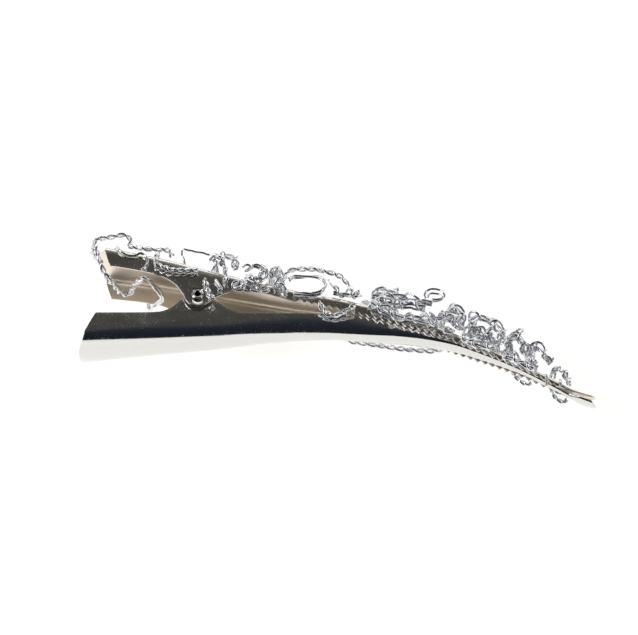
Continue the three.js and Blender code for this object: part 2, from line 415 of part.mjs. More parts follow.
const WIRES = {
  wire_thumb_loop: [PAIR, ({ over }) => [over(-78, -0.8, 1.1), over(-95, -0.5, 1.1),
    over(-106, 0.1, 1.2), over(-104, 0.8, 1.6), over(-96, 0.8, 2.9), over(-86, 0.75, 4.1),
    over(-73, 0.7, 5.5), over(-67, 0.68, 4.2), over(-69, 0.7, 2.5), over(-60, 0.72, 2.3),
    over(-48, 0.75, 2.6), over(-38, 0.76, 2.9), over(-30, 0.78, 3.1), over(-25.6, 0.85, 1.5)]],
  wire_end_festoon: [PAIR, ({ over }) => [over(-103, 0.98, -0.9), over(-101, 1.0, -2.6),
    over(-99, 1.0, -4.2), over(-97, 0.95, -5.9), over(-95, 0.8, -7.3), over(-88, 0.4, -7.6),
    over(-77, -0.4, -6.7), over(-71, -0.55, -6.0), over(-64, 0, -5.7), over(-56, 0.6, -6.0)]],
  wire_thumb_line: [SINGLE, ({ over, beside, corner }) => [over(-86, 0.3, 0.8), over(-83, 0.8, 0.8),
    corner(-81), beside(-78, 1.3), beside(-71, 2.4), beside(-63, 1.9), beside(-57, 0.9),
    beside(-51.5, 1.8), beside(-50.5, 3.4), beside(-53, 5.0), beside(-57, 6.0)]],
  wire_under_tie: [PAIR, ({ over, beside, corner }) => [over(-56, 1.0, -7.7), over(-50, 0.9, -7.6),
    over(-44, 0.55, -7.5), over(-38, 0.12, -7.4), over(-37, -0.26, -7.4), over(-42, -0.6, -7.4),
    over(-48, -0.95, -7.4), over(-50, -1.15, -6.6), beside(-51, 4.4, -1), beside(-50, 2.0, -1), corner(-50, -1),
    over(-50, -0.75, 1.05), over(-52, -0.25, 1.05)]],
  wire_shoulder_twist: [PAIR, ({ over, beside, corner }) => [over(-42, -0.3, 1.05),
    over(-41, 0.4, 1.05), corner(-41), beside(-42, 1.8), beside(-41, 3.4), beside(-35, 4.0),
    beside(-26, 4.3), beside(-14, 3.4), beside(0, 2.3)]],
  wire_square_loop: [SINGLE, ({ over }) => [over(-12, 0.1, 0.75), over(-13.5, 0.7, 0.9),
    over(-17, 0.8, 3.2), over(-15, 0.78, 4.7), over(-9, 0.76, 4.95), over(0.5, 0.75, 5.0),
    over(3, 0.78, 5.0)]],
  wire_knot_arch: [PAIR, ({ over }) => [over(4.2, 0.2, 1.2), over(4.6, 0.4, 4.0),
    over(6.3, 0.5, 6.6), over(8.2, 0.6, 6.6), over(9.3, 0.75, 4.6), over(9.4, 0.95, 2.0)]],
  wire_knot_fall: [PAIR, ({ over, beside }) => [over(3.4, 1.0, 1.9), over(4.2, 1.12, 3.4),
    over(5.8, 1.2, 2.4), beside(6.7, -0.2), beside(7.1, 2.0), beside(7.2, 3.8)]],
  wire_knot_coil: [PAIR, ({ ring }) => ring(10.6, -3.8, 1.25, 1.35, 1.0, 130, 310)],
  wire_ear_drop: [PAIR, ({ beside }) => [beside(1.6, 4.6), beside(2.5, 6.5), beside(3.1, 8.6),
    beside(4.3, 9.9)]],
  wire_ear_curl: [SINGLE, ({ beside }) => [beside(4.4, 3.4), beside(5.4, 4.8), beside(5.9, 6.2),
    beside(5.0, 7.0)]],
  wire_low_arc: [PAIR, ({ beside }) => [beside(13.3, 4.2), beside(14.4, 4.5), beside(16.6, 3.8),
    beside(18.2, 2.8)]],
  wire_side_ring: [PAIR, ({ ring }) => ring(14.4, 0.7, 2.3, 2.3, 1.05, 200, 320)],
  wire_cross_knot: [PAIR, ({ over, beside }) => [over(18.2, 0.1, 1.1), over(18.6, 0.7, 2.8),
    over(19.6, 1.0, 3.9), over(20.8, 1.15, 2.6), beside(20.6, 0.0), beside(20.9, 1.7),
    beside(21.3, 3.3), beside(22.3, 4.2)]],
  wire_crest_twist: [PAIR, ({ over }) => [over(21.4, 0.3, 1.2), over(21.8, 0.5, 4.2),
    over(23.4, 0.55, 6.4), over(26, 0.55, 7.7), over(30, 0.5, 8.3), over(34.2, 0.5, 8.2),
    over(37, 0.5, 7.0), over(38.6, 0.5, 5.0), over(39.4, 0.45, 3.0)]],
  wire_long_oval: [PAIR, ({ over, beside }) => [beside(24.1, 2.7), beside(27, 2.1),
    beside(30, 1.3), over(31.8, 1.22, 0.4), over(32.3, 1.15, 3.0), over(30.8, 1.0, 4.5),
    over(27, 0.98, 4.0), over(24, 1.0, 3.1), over(23, 1.15, 1.4)]],
  wire_brace: [SINGLE, ({ over }) => [over(32.9, 0.55, 5.7), over(33.8, 0.7, 4.0),
    over(34.6, 0.8, 2.7)]],
  wire_spine_line: [PAIR, ({ over }) => [over(34.2, 0.85, 1.1), over(37.2, 0.88, 1.1),
    over(40, 0.88, 1.5), over(41.4, 0.85, 2.5)]],
  wire_low_festoon: [PAIR, ({ beside }) => [beside(30.8, 3.6), beside(31.4, 5.2), beside(33, 6.8),
    beside(35, 6.9), beside(37, 5.3), beside(38.6, 3.6), beside(40, 2.2)]],
  wire_scroll: [PAIR, ({ over }) => [over(45, 0.2, 1.2), over(45.7, 0.4, 4.0), over(47.2, 0.45, 6.3),
    over(49.4, 0.45, 6.6), over(51.6, 0.45, 5.4), over(52.6, 0.3, 3.4)]],
  wire_long_line: [PAIR, ({ over }) => [over(43.8, 1.0, 2.1), over(47.5, 1.0, 2.9),
    over(51.5, 1.0, 3.7), over(56, 1.0, 4.7), over(59.4, 1.0, 5.2)]],
  wire_long_arc: [PAIR, ({ beside }) => [beside(43.4, 0.9), beside(46, 2.0), beside(49.5, 2.8),
    beside(53, 2.6), beside(57, 1.8), beside(60.5, 0.8)]],
  wire_crest_ring: [PAIR, ({ ring }) => ring(60, 7 + 2 * PAIR, 2.2, 1.45, -0.4, 250, 320)],
  wire_crest_rise: [PAIR, ({ over }) => [over(58.6, 0.5, 1.6), over(61.4, 0.6, 2.8),
    over(64, 0.75, 3.2), over(66.2, 0.85, 2.6), over(67.4, 0.95, 1.4)]],
  wire_tall_arch: [PAIR, ({ over }) => [over(61.8, -0.3, 1.3), over(62.4, 0.0, 5.0),
    over(63.8, 0.2, 7.4), over(65.8, 0.3, 7.6), over(66.9, 0.35, 5.6), over(66.4, 0.1, 3.6)]],
  wire_straight_end: [SINGLE, ({ over }) => [over(63.2, 0.95, 5.2), over(65, 1.0, 5.5),
    over(67.3, 0.95, 6.5)]],
  wire_dome: [PAIR, ({ over }) => [over(69.2, 0.3, 1.3), over(69.2, 0.65, 5.0),
    over(71, 0.8, 7.6), over(74, 0.85, 7.8), over(76.7, 0.9, 5.6), over(77.2, 1.0, 3.4),
    over(76.0, 1.15, 1.8)]],
  wire_fan: [SINGLE, ({ over }) => [over(70.6, 0.1, 0.9), over(71.5, 0.2, 4.8),
    over(72.6, 0.15, 1.6), over(73.7, 0.2, 5.4), over(74.7, 0.1, 1.8), over(75.6, 0.2, 4.4)]],
  wire_dome_skirt: [PAIR, ({ beside }) => [beside(66.6, 2.0), beside(69.2, 2.5), beside(72, 1.9),
    beside(75, 1.2)]],
  wire_jaw_skirt: [PAIR, ({ beside }) => [beside(77.3, 1.9), beside(79.8, 1.5), beside(82.6, 1.7),
    beside(85.3, 1.3)]],
  wire_gap_loop: [PAIR, ({ beside }) => [beside(61.9, 2.5), beside(63.4, 2.0), beside(64.4, 1.0)]],
  wire_mid_loop: [PAIR, ({ over }) => [over(45.8, 1.3, 0.9), over(48.5, 1.32, 0.4),
    over(51.5, 1.32, 0.7), over(54.5, 1.3, 1.9), over(57.5, 1.25, 2.6)]],
  wire_crest_knot: [PAIR, ({ over }) => [over(61.8, 1.5, 1.3), over(63.2, 1.55, 2.0),
    over(64.6, 1.55, 1.2), over(65.6, 1.5, 0.3)]],
  wire_tip_scroll: [PAIR, ({ over }) => [over(78.6, 0.0, 1.3), over(78.9, 0.5, 5.0),
    over(80.4, 0.7, 7.3), over(82.2, 0.75, 6.2), over(82.2, 0.8, 4.2), over(83.2, 0.9, 2.2),
    over(85.4, 1.0, 1.3)]],
  wire_tip_line: [PAIR, ({ over }) => [over(84.2, -0.3, 2.0), over(84.2, 0.2, 5.6),
    over(85.6, 0.6, 6.9), over(87.6, 0.8, 5.4), over(88.9, 0.9, 3.5)]],
  wire_tip_wrap: [PAIR, ({ over, beside }) => [over(89.4, -0.4, 1.2), over(90.2, 0.3, 3.6),
    over(91.6, 0.9, 3.7), over(92.9, 1.3, 1.6), beside(93.4, 0.6)]],
  wire_neck_band: [SINGLE, ({ over, beside, corner }) => [beside(91.3, 1.9), beside(91.3, 1.0),
    corner(91.2), over(91.2, 0.5, 0.8), over(91.2, -0.5, 0.8), corner(91.2, -1),
    beside(91.3, 1.2, -1)]],
  wire_neck_hook: [SINGLE, ({ beside }) => [beside(87.5, 0.8), beside(87.8, 2.4),
    beside(87.6, 4.2)]],
  wire_far_twist: [PAIR, ({ over, beside, corner }) => [beside(33, 1.5, -1), beside(35.2, 4.3, -1),
    beside(38.5, 6.2, -1), beside(44, 6.3, -1), beside(50, 6.0, -1), beside(56, 4.9, -1),
    beside(60.5, 3.2, -1), beside(63, 1.2, -1), corner(64, -1), over(65, -0.6, 1.1)]],
  wire_far_knot: [PAIR, ({ beside }) => [beside(79.5, 0.8, -1), beside(81, 2.6, -1),
    beside(83, 2.9, -1), beside(84.3, 1.6, -1)]],
  wire_far_clump: [PAIR, ({ beside }) => [beside(89.2, 0.9, -1), beside(90.2, 2.6, -1),
    beside(92.2, 2.8, -1), beside(93.2, 1.4, -1)]],
  wire_back_handle: [PAIR, ({ over }) => [over(-68, -0.7, 1.1), over(-62, -0.65, 2.6),
    over(-46, -0.6, 3.4), over(-30, -0.6, 3.0), over(-22, -0.5, 1.4), over(-12, -0.6, 2.6),
    over(0, -0.65, 4.2), over(5, -0.7, 3.0), over(7, -0.65, 1.2)]],
  wire_back_throat: [PAIR, ({ over }) => [over(9.5, -0.5, 1.1), over(11.5, -0.75, 3.0),
    over(15.5, -0.8, 4.2), over(20, -0.75, 3.2), over(23, -0.7, 1.4), over(26.5, -0.75, 3.0),
    over(30.5, -0.75, 3.8), over(34.5, -0.7, 2.8), over(37, -0.65, 1.2)]],
  wire_back_jaw: [PAIR, ({ over }) => [over(40.5, -0.5, 1.1), over(42.5, -0.7, 3.0),
    over(46, -0.75, 4.0), over(50, -0.7, 3.0), over(53, -0.65, 1.4), over(56, -0.7, 3.0),
    over(58.6, -0.75, 3.8), over(60.4, -0.8, 2.4)]],
  wire_back_tip: [PAIR, ({ over }) => [over(66.8, -0.8, 2.8), over(70, -0.85, 4.6),
    over(73.6, -0.85, 4.4), over(76.4, -0.9, 2.4), over(79.0, -1.0, 2.6), over(81.2, -1.0, 1.3)]],
};

function wire([radius, route]) {
  return bar(route(placing(radius)), radius, 1.5, 6);
}

// ---- Assembly ----
const CHROMED = { color: 0xc9c8c4, roughness: 0.14 };
const BRIGHT = { color: 0xd8dadd, roughness: 0.2 };
const SPRUNG = { color: 0x9a9a98, roughness: 0.3 };

const clip = new THREE.Group();
const placed = new THREE.Group();
function add(name, geometry, finish) {
  const mesh = new THREE.Mesh(geometry, new THREE.MeshStandardMaterial({ ...finish, metalness: 1 }));
  mesh.name = name;
  placed.add(mesh);
}
add("lower_lever", lowerLever(), CHROMED);
add("upper_lever", upperLever(), CHROMED);
add("hinge_rivet", hingeRivet(), CHROMED);
add("torsion_spring", torsionSpring(), SPRUNG);
for (const [name, made] of Object.entries(WIRES)) add(name, wire(made), BRIGHT);

// The whole stands on Z = 0 with its box's bottom centre at the origin.
const box = new THREE.Box3().setFromObject(placed);
placed.position.set(-(box.min.x + box.max.x) / 2, -(box.min.y + box.max.y) / 2, -box.min.z);
clip.add(placed);

export default clip;
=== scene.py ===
# %% [markdown]
# # Alligator hair clip dressed with craft wire
#
# The clip is two levers pressed from thin steel, joined by a hollow rivet, with a torsion spring
# inside. The upper lever carries a tangle of bright craft wire, mostly two strands twisted
# together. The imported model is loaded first: it fixes every place, the hinge and the bodies.

import json
import math

import bpy
import numpy as np
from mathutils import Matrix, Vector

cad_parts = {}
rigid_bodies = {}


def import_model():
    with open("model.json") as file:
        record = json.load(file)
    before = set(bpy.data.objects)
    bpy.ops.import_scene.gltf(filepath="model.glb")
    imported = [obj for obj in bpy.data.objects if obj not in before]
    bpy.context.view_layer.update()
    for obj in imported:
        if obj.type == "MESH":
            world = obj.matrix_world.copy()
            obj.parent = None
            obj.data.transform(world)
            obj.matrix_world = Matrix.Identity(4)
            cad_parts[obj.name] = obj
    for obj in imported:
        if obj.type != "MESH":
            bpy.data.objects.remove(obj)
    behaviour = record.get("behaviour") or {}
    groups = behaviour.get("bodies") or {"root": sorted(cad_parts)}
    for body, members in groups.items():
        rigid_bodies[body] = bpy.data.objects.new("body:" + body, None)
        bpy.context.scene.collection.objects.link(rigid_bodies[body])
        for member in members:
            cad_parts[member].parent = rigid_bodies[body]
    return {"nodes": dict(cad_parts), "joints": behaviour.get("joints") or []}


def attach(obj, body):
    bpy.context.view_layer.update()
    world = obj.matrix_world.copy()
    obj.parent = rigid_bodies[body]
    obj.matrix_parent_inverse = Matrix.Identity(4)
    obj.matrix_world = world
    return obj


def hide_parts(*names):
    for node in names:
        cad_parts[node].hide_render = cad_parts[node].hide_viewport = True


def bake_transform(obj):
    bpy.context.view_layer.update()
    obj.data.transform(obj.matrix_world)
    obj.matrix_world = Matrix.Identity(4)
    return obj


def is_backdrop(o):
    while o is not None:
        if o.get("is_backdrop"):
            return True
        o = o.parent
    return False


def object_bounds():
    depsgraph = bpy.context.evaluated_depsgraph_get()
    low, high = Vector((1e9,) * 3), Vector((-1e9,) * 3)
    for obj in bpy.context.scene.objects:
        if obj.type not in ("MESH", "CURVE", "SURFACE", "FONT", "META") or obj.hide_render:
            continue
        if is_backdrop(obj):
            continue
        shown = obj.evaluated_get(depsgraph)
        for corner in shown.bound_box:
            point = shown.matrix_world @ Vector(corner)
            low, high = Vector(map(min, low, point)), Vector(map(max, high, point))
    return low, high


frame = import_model()
cad_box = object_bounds()
MM = 0.001
PIVOT = np.array(frame["joints"][0]["pos_m"])
LOWER_BODY = frame["joints"][0]["parent"]
UPPER_BODY = frame["joints"][0]["child"]
print("nodes", len(frame["nodes"]), "pivot at", PIVOT.round(5))

# %% [markdown]
# ## Sizes
#
# All shapes below are worked out in millimetres from the hinge axis: x runs to the tip, y to the
# dressed upper lever and z along the hinge. They are moved to the frame's metres when a mesh is
# made, so a piece lies exactly where its solid does.

# %% Driving sizes, in millimetres
JAW_LENGTH = 98.7
UPPER_HANDLE = 25.0
LOWER_HANDLE = 29.5
JAW_DROP = 28.6
PIVOT_WIDTH = 12.62
TAPER = 0.108
TIP_WIDTH = 2.9
TIP_ROUND = 0.9
TIP_FROM = 0.95
SHEET = 0.5
SIDE_GAP = 0.35
EAR_SLACK = 0.45
SHOULDER = 1.7
PIVOT_ROOF = 9.0
HANDLE_RISE = 5.7
HANDLE_WALL = 6.1
JAW_WALL = 4.2
LOWER_WALL = 5.9
LOWER_EDGE = 5.3
THROAT_EDGE = 4.0
BELLY = 3.0
NEST = 0.7
EAR = 3.4
INNER_EAR = 2.9
TOOTH_PITCH = 1.8
TOOTH_HEIGHT = 0.95
BORE = 0.8
BARREL = 1.1
FLANGE = 1.5
FLANGE_HEIGHT = 0.35
END_FLOAT = 0.3
PIVOT_CLEARANCE = 0.2
SPRING_WIRE = 0.7
SPRING_TURNS = 3
SPRING_CLEARANCE = 0.35
SPRING_REACH = 5.0
STRAND = 0.7
WIRE_GAP = 0.3
CUT_ROUND = 0.09  # how far the sheet's cut edges are rounded
TEETH_FROM = 0.25 * JAW_LENGTH
TEETH_TO = 0.9 * JAW_LENGTH
LIP_FROM = 0.95 * JAW_LENGTH
print("overall length", round(JAW_LENGTH + LOWER_HANDLE, 1), "mm")

# %% [markdown]
# ## Lines that the levers follow
#
# A pressed lever is one section carried along its length while its width, height and edges
# change slowly. Each of these is a line through a few chosen points. The points are joined by
# cubic pieces whose slopes never overshoot, so an edge can't wave between them.


# %% A smooth line through points
def curve_through(points):
    """Height at x on a smooth line through (x, y) points. The slope at each point is the harmonic
    mean of the straight slopes beside it, or zero at a peak; between points it is the cubic that
    has those slopes, and past the ends it runs on straight."""
    xs, ys = np.array(points, float).T
    slopes = np.diff(ys) / np.diff(xs)
    before, after = slopes[:-1], slopes[1:]
    same_way = before * after > 0
    total = np.where(same_way, before + after, 1.0)
    inner = np.where(same_way, 2 * before * after / total, 0.0)
    tangents = np.concatenate([slopes[:1], inner, slopes[-1:]])

    def height(x):
        x = np.asarray(x, float)
        i = np.clip(np.searchsorted(xs, x, side="left") - 1, 0, len(xs) - 2)
        span = xs[i + 1] - xs[i]
        u = np.clip((x - xs[i]) / span, 0, 1)
        value = (2 * u**3 - 3 * u**2 + 1) * ys[i] + (u**3 - 2 * u**2 + u) * span * tangents[i]
        value += (3 * u**2 - 2 * u**3) * ys[i + 1] + (u**3 - u**2) * span * tangents[i + 1]
        outside = np.minimum(x - xs[0], 0) * tangents[0] + np.maximum(x - xs[-1], 0) * tangents[-1]
        return value + outside

    return height


def jaw_curve(pairs, height):
    """The same, through points told as shares of the jaw's length and of a height."""
    return curve_through([(f * JAW_LENGTH, g * height) for f, g in pairs])


def ease(t):
    """0 before t = 0 and 1 after t = 1, turning smoothly between."""
    u = np.clip(t, 0, 1)
    return u * u * (3 - 2 * u)


print("a smooth line between 0 and 1:", curve_through([(0, 0), (1, 1)])(0.5))

# %% The bite line and the widths
bite = jaw_curve([(0.2, 0.004), (0.25, 0.04), (0.4, 0.158), (0.5, 0.248), (0.6, 0.357),
                  (0.7, 0.506), (0.8, 0.664), (0.9, 0.853), (0.95, 0.95), (1, 1)], -JAW_DROP)
jaw_wall = jaw_curve([(0.25, 0.95), (0.38, 1.05), (0.46, 1.05), (0.66, 0.84), (0.86, 0.58),
                      (0.93, 0.48), (1, 0.4)], JAW_WALL)
narrowing = jaw_curve([(0.7, 0), (0.8, 0), (0.9, 0.55), (1, 1)], 1)
lip_widening = jaw_curve([(0.91, 0), (0.93, 0), (0.965, 1), (1, 1)], 1)


def half_upper(x):
    """Half the upper lever's outside width: a straight taper, easing into the lips."""
    straight = (PIVOT_WIDTH - TAPER * x) / 2
    share = np.where(x > 0.8 * JAW_LENGTH, narrowing(x), 0)
    return straight + share * (TIP_WIDTH / 2 - (PIVOT_WIDTH - TAPER * JAW_LENGTH) / 2)


def half_lower(x):
    """Half the lower lever's width: inside the upper one, and as wide as it at the lips."""
    slack = EAR_SLACK * (1 - ease((x / JAW_LENGTH - 0.1) / 0.3))
    behind_teeth = half_upper(x) - SHEET - SIDE_GAP - slack
    share = np.where(x > 0.93 * JAW_LENGTH, lip_widening(x), 0)
    return behind_teeth + share * (SHEET + SIDE_GAP)


print("width at the hinge", 2 * half_upper(0.0), "and at the tip", 2 * half_upper(JAW_LENGTH))

# %% The upper lever's roof and edge
roof_behind = curve_through([(-UPPER_HANDLE, PIVOT_ROOF + HANDLE_RISE),
                             (-0.54 * UPPER_HANDLE, PIVOT_ROOF + 0.605 * HANDLE_RISE),
                             (-0.19 * UPPER_HANDLE, PIVOT_ROOF + 0.246 * HANDLE_RISE),
                             (0, PIVOT_ROOF), (0.12 * JAW_LENGTH, 0.66 * PIVOT_ROOF),
                             (TEETH_FROM, bite(TEETH_FROM) + jaw_wall(TEETH_FROM))])


def roof(x):
    """Height of the upper lever's roof."""
    return np.where(x < TEETH_FROM, roof_behind(x), bite(x) + jaw_wall(x))


upper_edge_behind = curve_through(
    [(-UPPER_HANDLE, roof(-UPPER_HANDLE) - HANDLE_WALL),
     (-0.54 * UPPER_HANDLE, roof(-0.54 * UPPER_HANDLE) - 0.95 * HANDLE_WALL)]
    + [(EAR * u, EAR * v) for u, v in [
        (-3.1, 1.74), (-2.55, 1.53), (-2.0, 1.18), (-1.6, 0.82), (-1.25, 0.29), (-1.02, -0.1),
        (-0.9, -0.44), (-0.7, -0.714), (-0.4, -0.917), (0, -1), (0.4, -0.917), (0.7, -0.714),
        (1.3, -0.2), (1.9, 0.15), (2.4, 0.36), (3.2, 0.46)]]
    + [(0.16 * JAW_LENGTH, 0.36 * EAR), (TEETH_FROM, bite(TEETH_FROM))])


def upper_edge(x):
    """Lower edge of the upper lever's walls, before the teeth are cut."""
    lip = np.clip((x - TEETH_TO) / (LIP_FROM - TEETH_TO), 0, 1)
    jaw = bite(x) + lip * (roof(x) - 1.3 * SHEET - bite(x))
    return np.where(x < TEETH_FROM, upper_edge_behind(x), jaw)


def tooth_notch(x):
    """Height cut away between teeth: a zigzag, nothing at each tip and a tooth's height between."""
    phase = (x - TEETH_FROM) / TOOTH_PITCH
    notch = TOOTH_HEIGHT * 2 * np.abs(phase - np.round(phase))
    return np.where((x > TEETH_FROM) & (x < TEETH_TO), notch, 0)


print("teeth in one wall:", round((TEETH_TO - TEETH_FROM) / TOOTH_PITCH))

# %% The lower lever's edge, crease and belly
lower_edge_behind = curve_through(
    [(-LOWER_HANDLE, -1.05 * LOWER_EDGE), (-0.49 * LOWER_HANDLE, -0.94 * LOWER_EDGE)]
    + [(INNER_EAR * u, INNER_EAR * v) for u, v in [
        (-3.4, -1.6), (-2.35, -1.18), (-1.69, -0.52), (-1.2, -0.05), (-0.97, 0.3), (-0.8, 0.6),
        (-0.45, 0.89), (0, 1), (0.45, 0.89), (0.8, 0.6), (0.97, 0.3), (1.2, 0.05),
        (1.95, -0.57), (2.5, -0.95), (3.05, -1.24), (3.7, -1.42)]]
    + [(0.13 * JAW_LENGTH, -1.02 * THROAT_EDGE), (0.3 * JAW_LENGTH, -0.98 * THROAT_EDGE),
       (0.385 * JAW_LENGTH, -1.06 * THROAT_EDGE),
       (0.44 * JAW_LENGTH, bite(0.44 * JAW_LENGTH) + NEST)])
belly = curve_through([(-LOWER_HANDLE, 0.97 * BELLY), (-0.5 * LOWER_HANDLE, 1.08 * BELLY)]
                      + [(f * JAW_LENGTH, g * BELLY) for f, g in [
                          (0, 1), (0.08, 0.97), (0.16, 1.15), (0.25, 1.27), (0.36, 1.27),
                          (0.44, 0.88), (0.5, 0.62), (0.6, 0.33), (0.8, 0.2), (1, 0.2)]])
bottom_of_jaw = jaw_curve([(0.25, 2.6), (0.36, 1.78), (0.44, 1.33), (0.5, 0.93), (0.59, 0.43),
                           (0.684, -0.03), (0.78, -0.1), (0.93, 0.12), (1, 0.42)], BELLY)
DEEP = LOWER_EDGE + LOWER_WALL
crease_behind = curve_through(
    [(-LOWER_HANDLE, -DEEP), (-0.5 * LOWER_HANDLE, -0.84 * DEEP), (0, -0.75 * DEEP),
     (0.07 * JAW_LENGTH, -0.7 * DEEP), (0.16 * JAW_LENGTH, -0.55 * DEEP),
     (TEETH_FROM, bite(TEETH_FROM) - bottom_of_jaw(TEETH_FROM) + belly(TEETH_FROM))])


def crease(x):
    """Height of the line where the flat wall turns into the rounded bottom."""
    return np.where(x < TEETH_FROM, crease_behind(x), bite(x) - bottom_of_jaw(x) + belly(x))


def lower_edge(x):
    """Top edge of the lower lever's walls."""
    edge = np.where(x < 0.44 * JAW_LENGTH, lower_edge_behind(x), bite(x) + NEST)
    lip = np.clip((x - TEETH_TO) / (LIP_FROM - TEETH_TO), 0, 1)
    least = crease(x) + 0.3 * SHEET
    return np.maximum(least, edge + lip * (least - edge))


print("belly at the hinge reaches", float(crease(0.0) - belly(0.0)), "mm")

# %% [markdown]
# ## Making a mesh
#
# Every piece here is a grid of points: one direction runs round a section and the other along
# the piece. Blender could loft curves, but a grid worked out with numpy gives exact control of
# where the points fall, so a tooth's tip or a rolled rim gets points and a flat wall doesn't.


# %% Grid helpers
def ring_faces(stations, around, base=0):
    """Quads between neighbouring rings of a closed section, as rows of four point numbers."""
    i, j = np.meshgrid(np.arange(stations - 1), np.arange(around), indexing="ij")
    k = (j + 1) % around
    quads = [i * around + j, i * around + k, (i + 1) * around + k, (i + 1) * around + j]
    return np.stack([q.ravel() for q in quads], axis=1) + base


def volume_inside(points, faces):
    """Signed volume of a closed body. Each face is split into a fan of triangles, and a sixth of
    each one's first corner dotted with the cross product of the other two is added up; it comes
    out negative when the faces point inwards."""
    total = 0.0
    for size in {len(face) for face in faces}:
        rows = np.array([face for face in faces if len(face) == size])
        for k in range(1, size - 1):
            a, b, c = points[rows[:, 0]], points[rows[:, k]], points[rows[:, k + 1]]
            total += (a * np.cross(b, c)).sum() / 6
    return total


def mesh_piece(name, points, faces, finish, sharp_degrees=35):
    """A mesh object from points in millimetres from the hinge and a list of faces, turned so
    that they point outwards. Edges sharper than the angle stay crisp."""
    faces = [[int(v) for v in face] for face in faces]
    if volume_inside(points, faces) < 0:
        faces = [face[::-1] for face in faces]
    mesh = bpy.data.meshes.new(name)
    mesh.from_pydata((PIVOT + MM * points).tolist(), [], faces)
    mesh.polygons.foreach_set("use_smooth", np.ones(len(mesh.polygons), bool))
    mesh.update()
    mesh.set_sharp_from_angle(angle=math.radians(sharp_degrees))
    mesh.materials.append(finish)
    piece = bpy.data.objects.new(name, mesh)
    bpy.context.scene.collection.objects.link(piece)
    return piece


print("ring of 4 round 3 stations:", len(ring_faces(3, 4)), "quads")

# %% [markdown]
# ## Plated steel
#
# The levers are nickel-plated steel: a warm mirror, dulled a little by handling. A plain mirror
# looks like a drawing, so the finish carries what a real clip has: hazy smears that change the
# roughness, hairline scratches that mostly run along the lever, and sparse dust specks. The cut
# edges of the sheet are brighter and rougher, and the mesh marks them with an attribute.


# %% Node helpers
def new_material(name):
    """An empty node material with its shader and output joined: (material, nodes, links,
    shader)."""
    finish = bpy.data.materials.new(name)
    finish.use_nodes = True
    nodes, links = finish.node_tree.nodes, finish.node_tree.links
    nodes.clear()
    shader = nodes.new("ShaderNodeBsdfPrincipled")
    output = nodes.new("ShaderNodeOutputMaterial")
    links.new(shader.outputs["BSDF"], output.inputs["Surface"])
    return finish, nodes, links, shader


def noise(nodes, links, source, scale, stretch=(1, 1, 1), detail=3.0):
    """Noise over the given coordinates; a larger stretch makes the marks finer that way."""
    mapping = nodes.new("ShaderNodeMapping")
    mapping.inputs["Scale"].default_value = [scale * s for s in stretch]
    links.new(source, mapping.inputs["Vector"])
    field = nodes.new("ShaderNodeTexNoise")
    field.inputs["Scale"].default_value = 1.0
    field.inputs["Detail"].default_value = detail
    links.new(mapping.outputs["Vector"], field.inputs["Vector"])
    return field.outputs["Fac"]


def remap(nodes, links, source, low, high, to_low, to_high):
    """Straight-line change of a value's range, held at its ends."""
    node = nodes.new("ShaderNodeMapRange")
    for socket, value in zip(("From Min", "From Max", "To Min", "To Max"),
                             (low, high, to_low, to_high)):
        node.inputs[socket].default_value = value
    links.new(source, node.inputs["Value"])
    return node.outputs["Result"]


def arithmetic(nodes, links, operation, a, b):
    """One Math node on two values, each a socket or a number."""
    node = nodes.new("ShaderNodeMath")
    node.operation = operation
    for socket, value in zip(node.inputs, (a, b)):
        if isinstance(value, (int, float)):
            socket.default_value = value
        else:
            links.new(value, socket)
    return node.outputs["Value"]


def colours_between(nodes, links, share, first, second):
    """Colour that goes from the first to the second as the share goes from 0 to 1."""
    node = nodes.new("ShaderNodeMix")
    node.data_type = "RGBA"
    links.new(share, node.inputs["Factor"])
    node.inputs["A"].default_value = (*first, 1)
    node.inputs["B"].default_value = (*second, 1)
    return node.outputs["Result"]


print("node helpers ready")


# %% Nickel plate
def nickel_plate(name, clean, inner):
    """Polished nickel: haze in the roughness, scratches and specks in the bump and colour. The
    inside of a lever is rougher, and its colour lighter and warmer."""
    finish, nodes, links, shader = new_material(name)
    place = nodes.new("ShaderNodeTexCoord").outputs["Object"]
    shader.inputs["Metallic"].default_value = 1.0
    haze = remap(nodes, links, noise(nodes, links, place, 260), 0.35, 0.75, 0.07, 0.15)
    smears = remap(nodes, links, noise(nodes, links, place, 90, (1, 3, 3)), 0.5, 0.8, 0.0, 0.07)
    dust = remap(nodes, links, noise(nodes, links, place, 2600, detail=1.0), 0.67, 0.71, 0, 1)
    scratch = noise(nodes, links, place, 500, (1, 22, 22), detail=2.0)
    hairline = remap(nodes, links, scratch, 0.66, 0.7, 0, 1)
    rim = nodes.new("ShaderNodeAttribute")
    rim.attribute_name = "cut_edge"
    inside = nodes.new("ShaderNodeAttribute")
    inside.attribute_name = "inner_face"
    faint = arithmetic(nodes, links, "MULTIPLY", hairline, 0.3)
    marks = arithmetic(nodes, links, "MAXIMUM", dust, faint)
    rough = arithmetic(nodes, links, "ADD", haze, smears)
    for source, share in ((marks, 0.16), (rim.outputs["Fac"], 0.1), (inside.outputs["Fac"], 0.22)):
        added = arithmetic(nodes, links, "MULTIPLY", source, share)
        rough = arithmetic(nodes, links, "ADD", rough, added)
    links.new(rough, shader.inputs["Roughness"])
    marked = colours_between(nodes, links, marks, clean, (0.9, 0.89, 0.87))
    both = nodes.new("ShaderNodeMix")
    both.data_type = "RGBA"
    links.new(inside.outputs["Fac"], both.inputs["Factor"])
    links.new(marked, both.inputs["A"])
    both.inputs["B"].default_value = (*inner, 1)
    links.new(both.outputs["Result"], shader.inputs["Base Color"])
    bump = nodes.new("ShaderNodeBump")
    bump.inputs["Strength"].default_value = 0.12
    bump.inputs["Distance"].default_value = 0.00002
    links.new(marks, bump.inputs["Height"])
    links.new(bump.outputs["Normal"], shader.inputs["Normal"])
    return finish


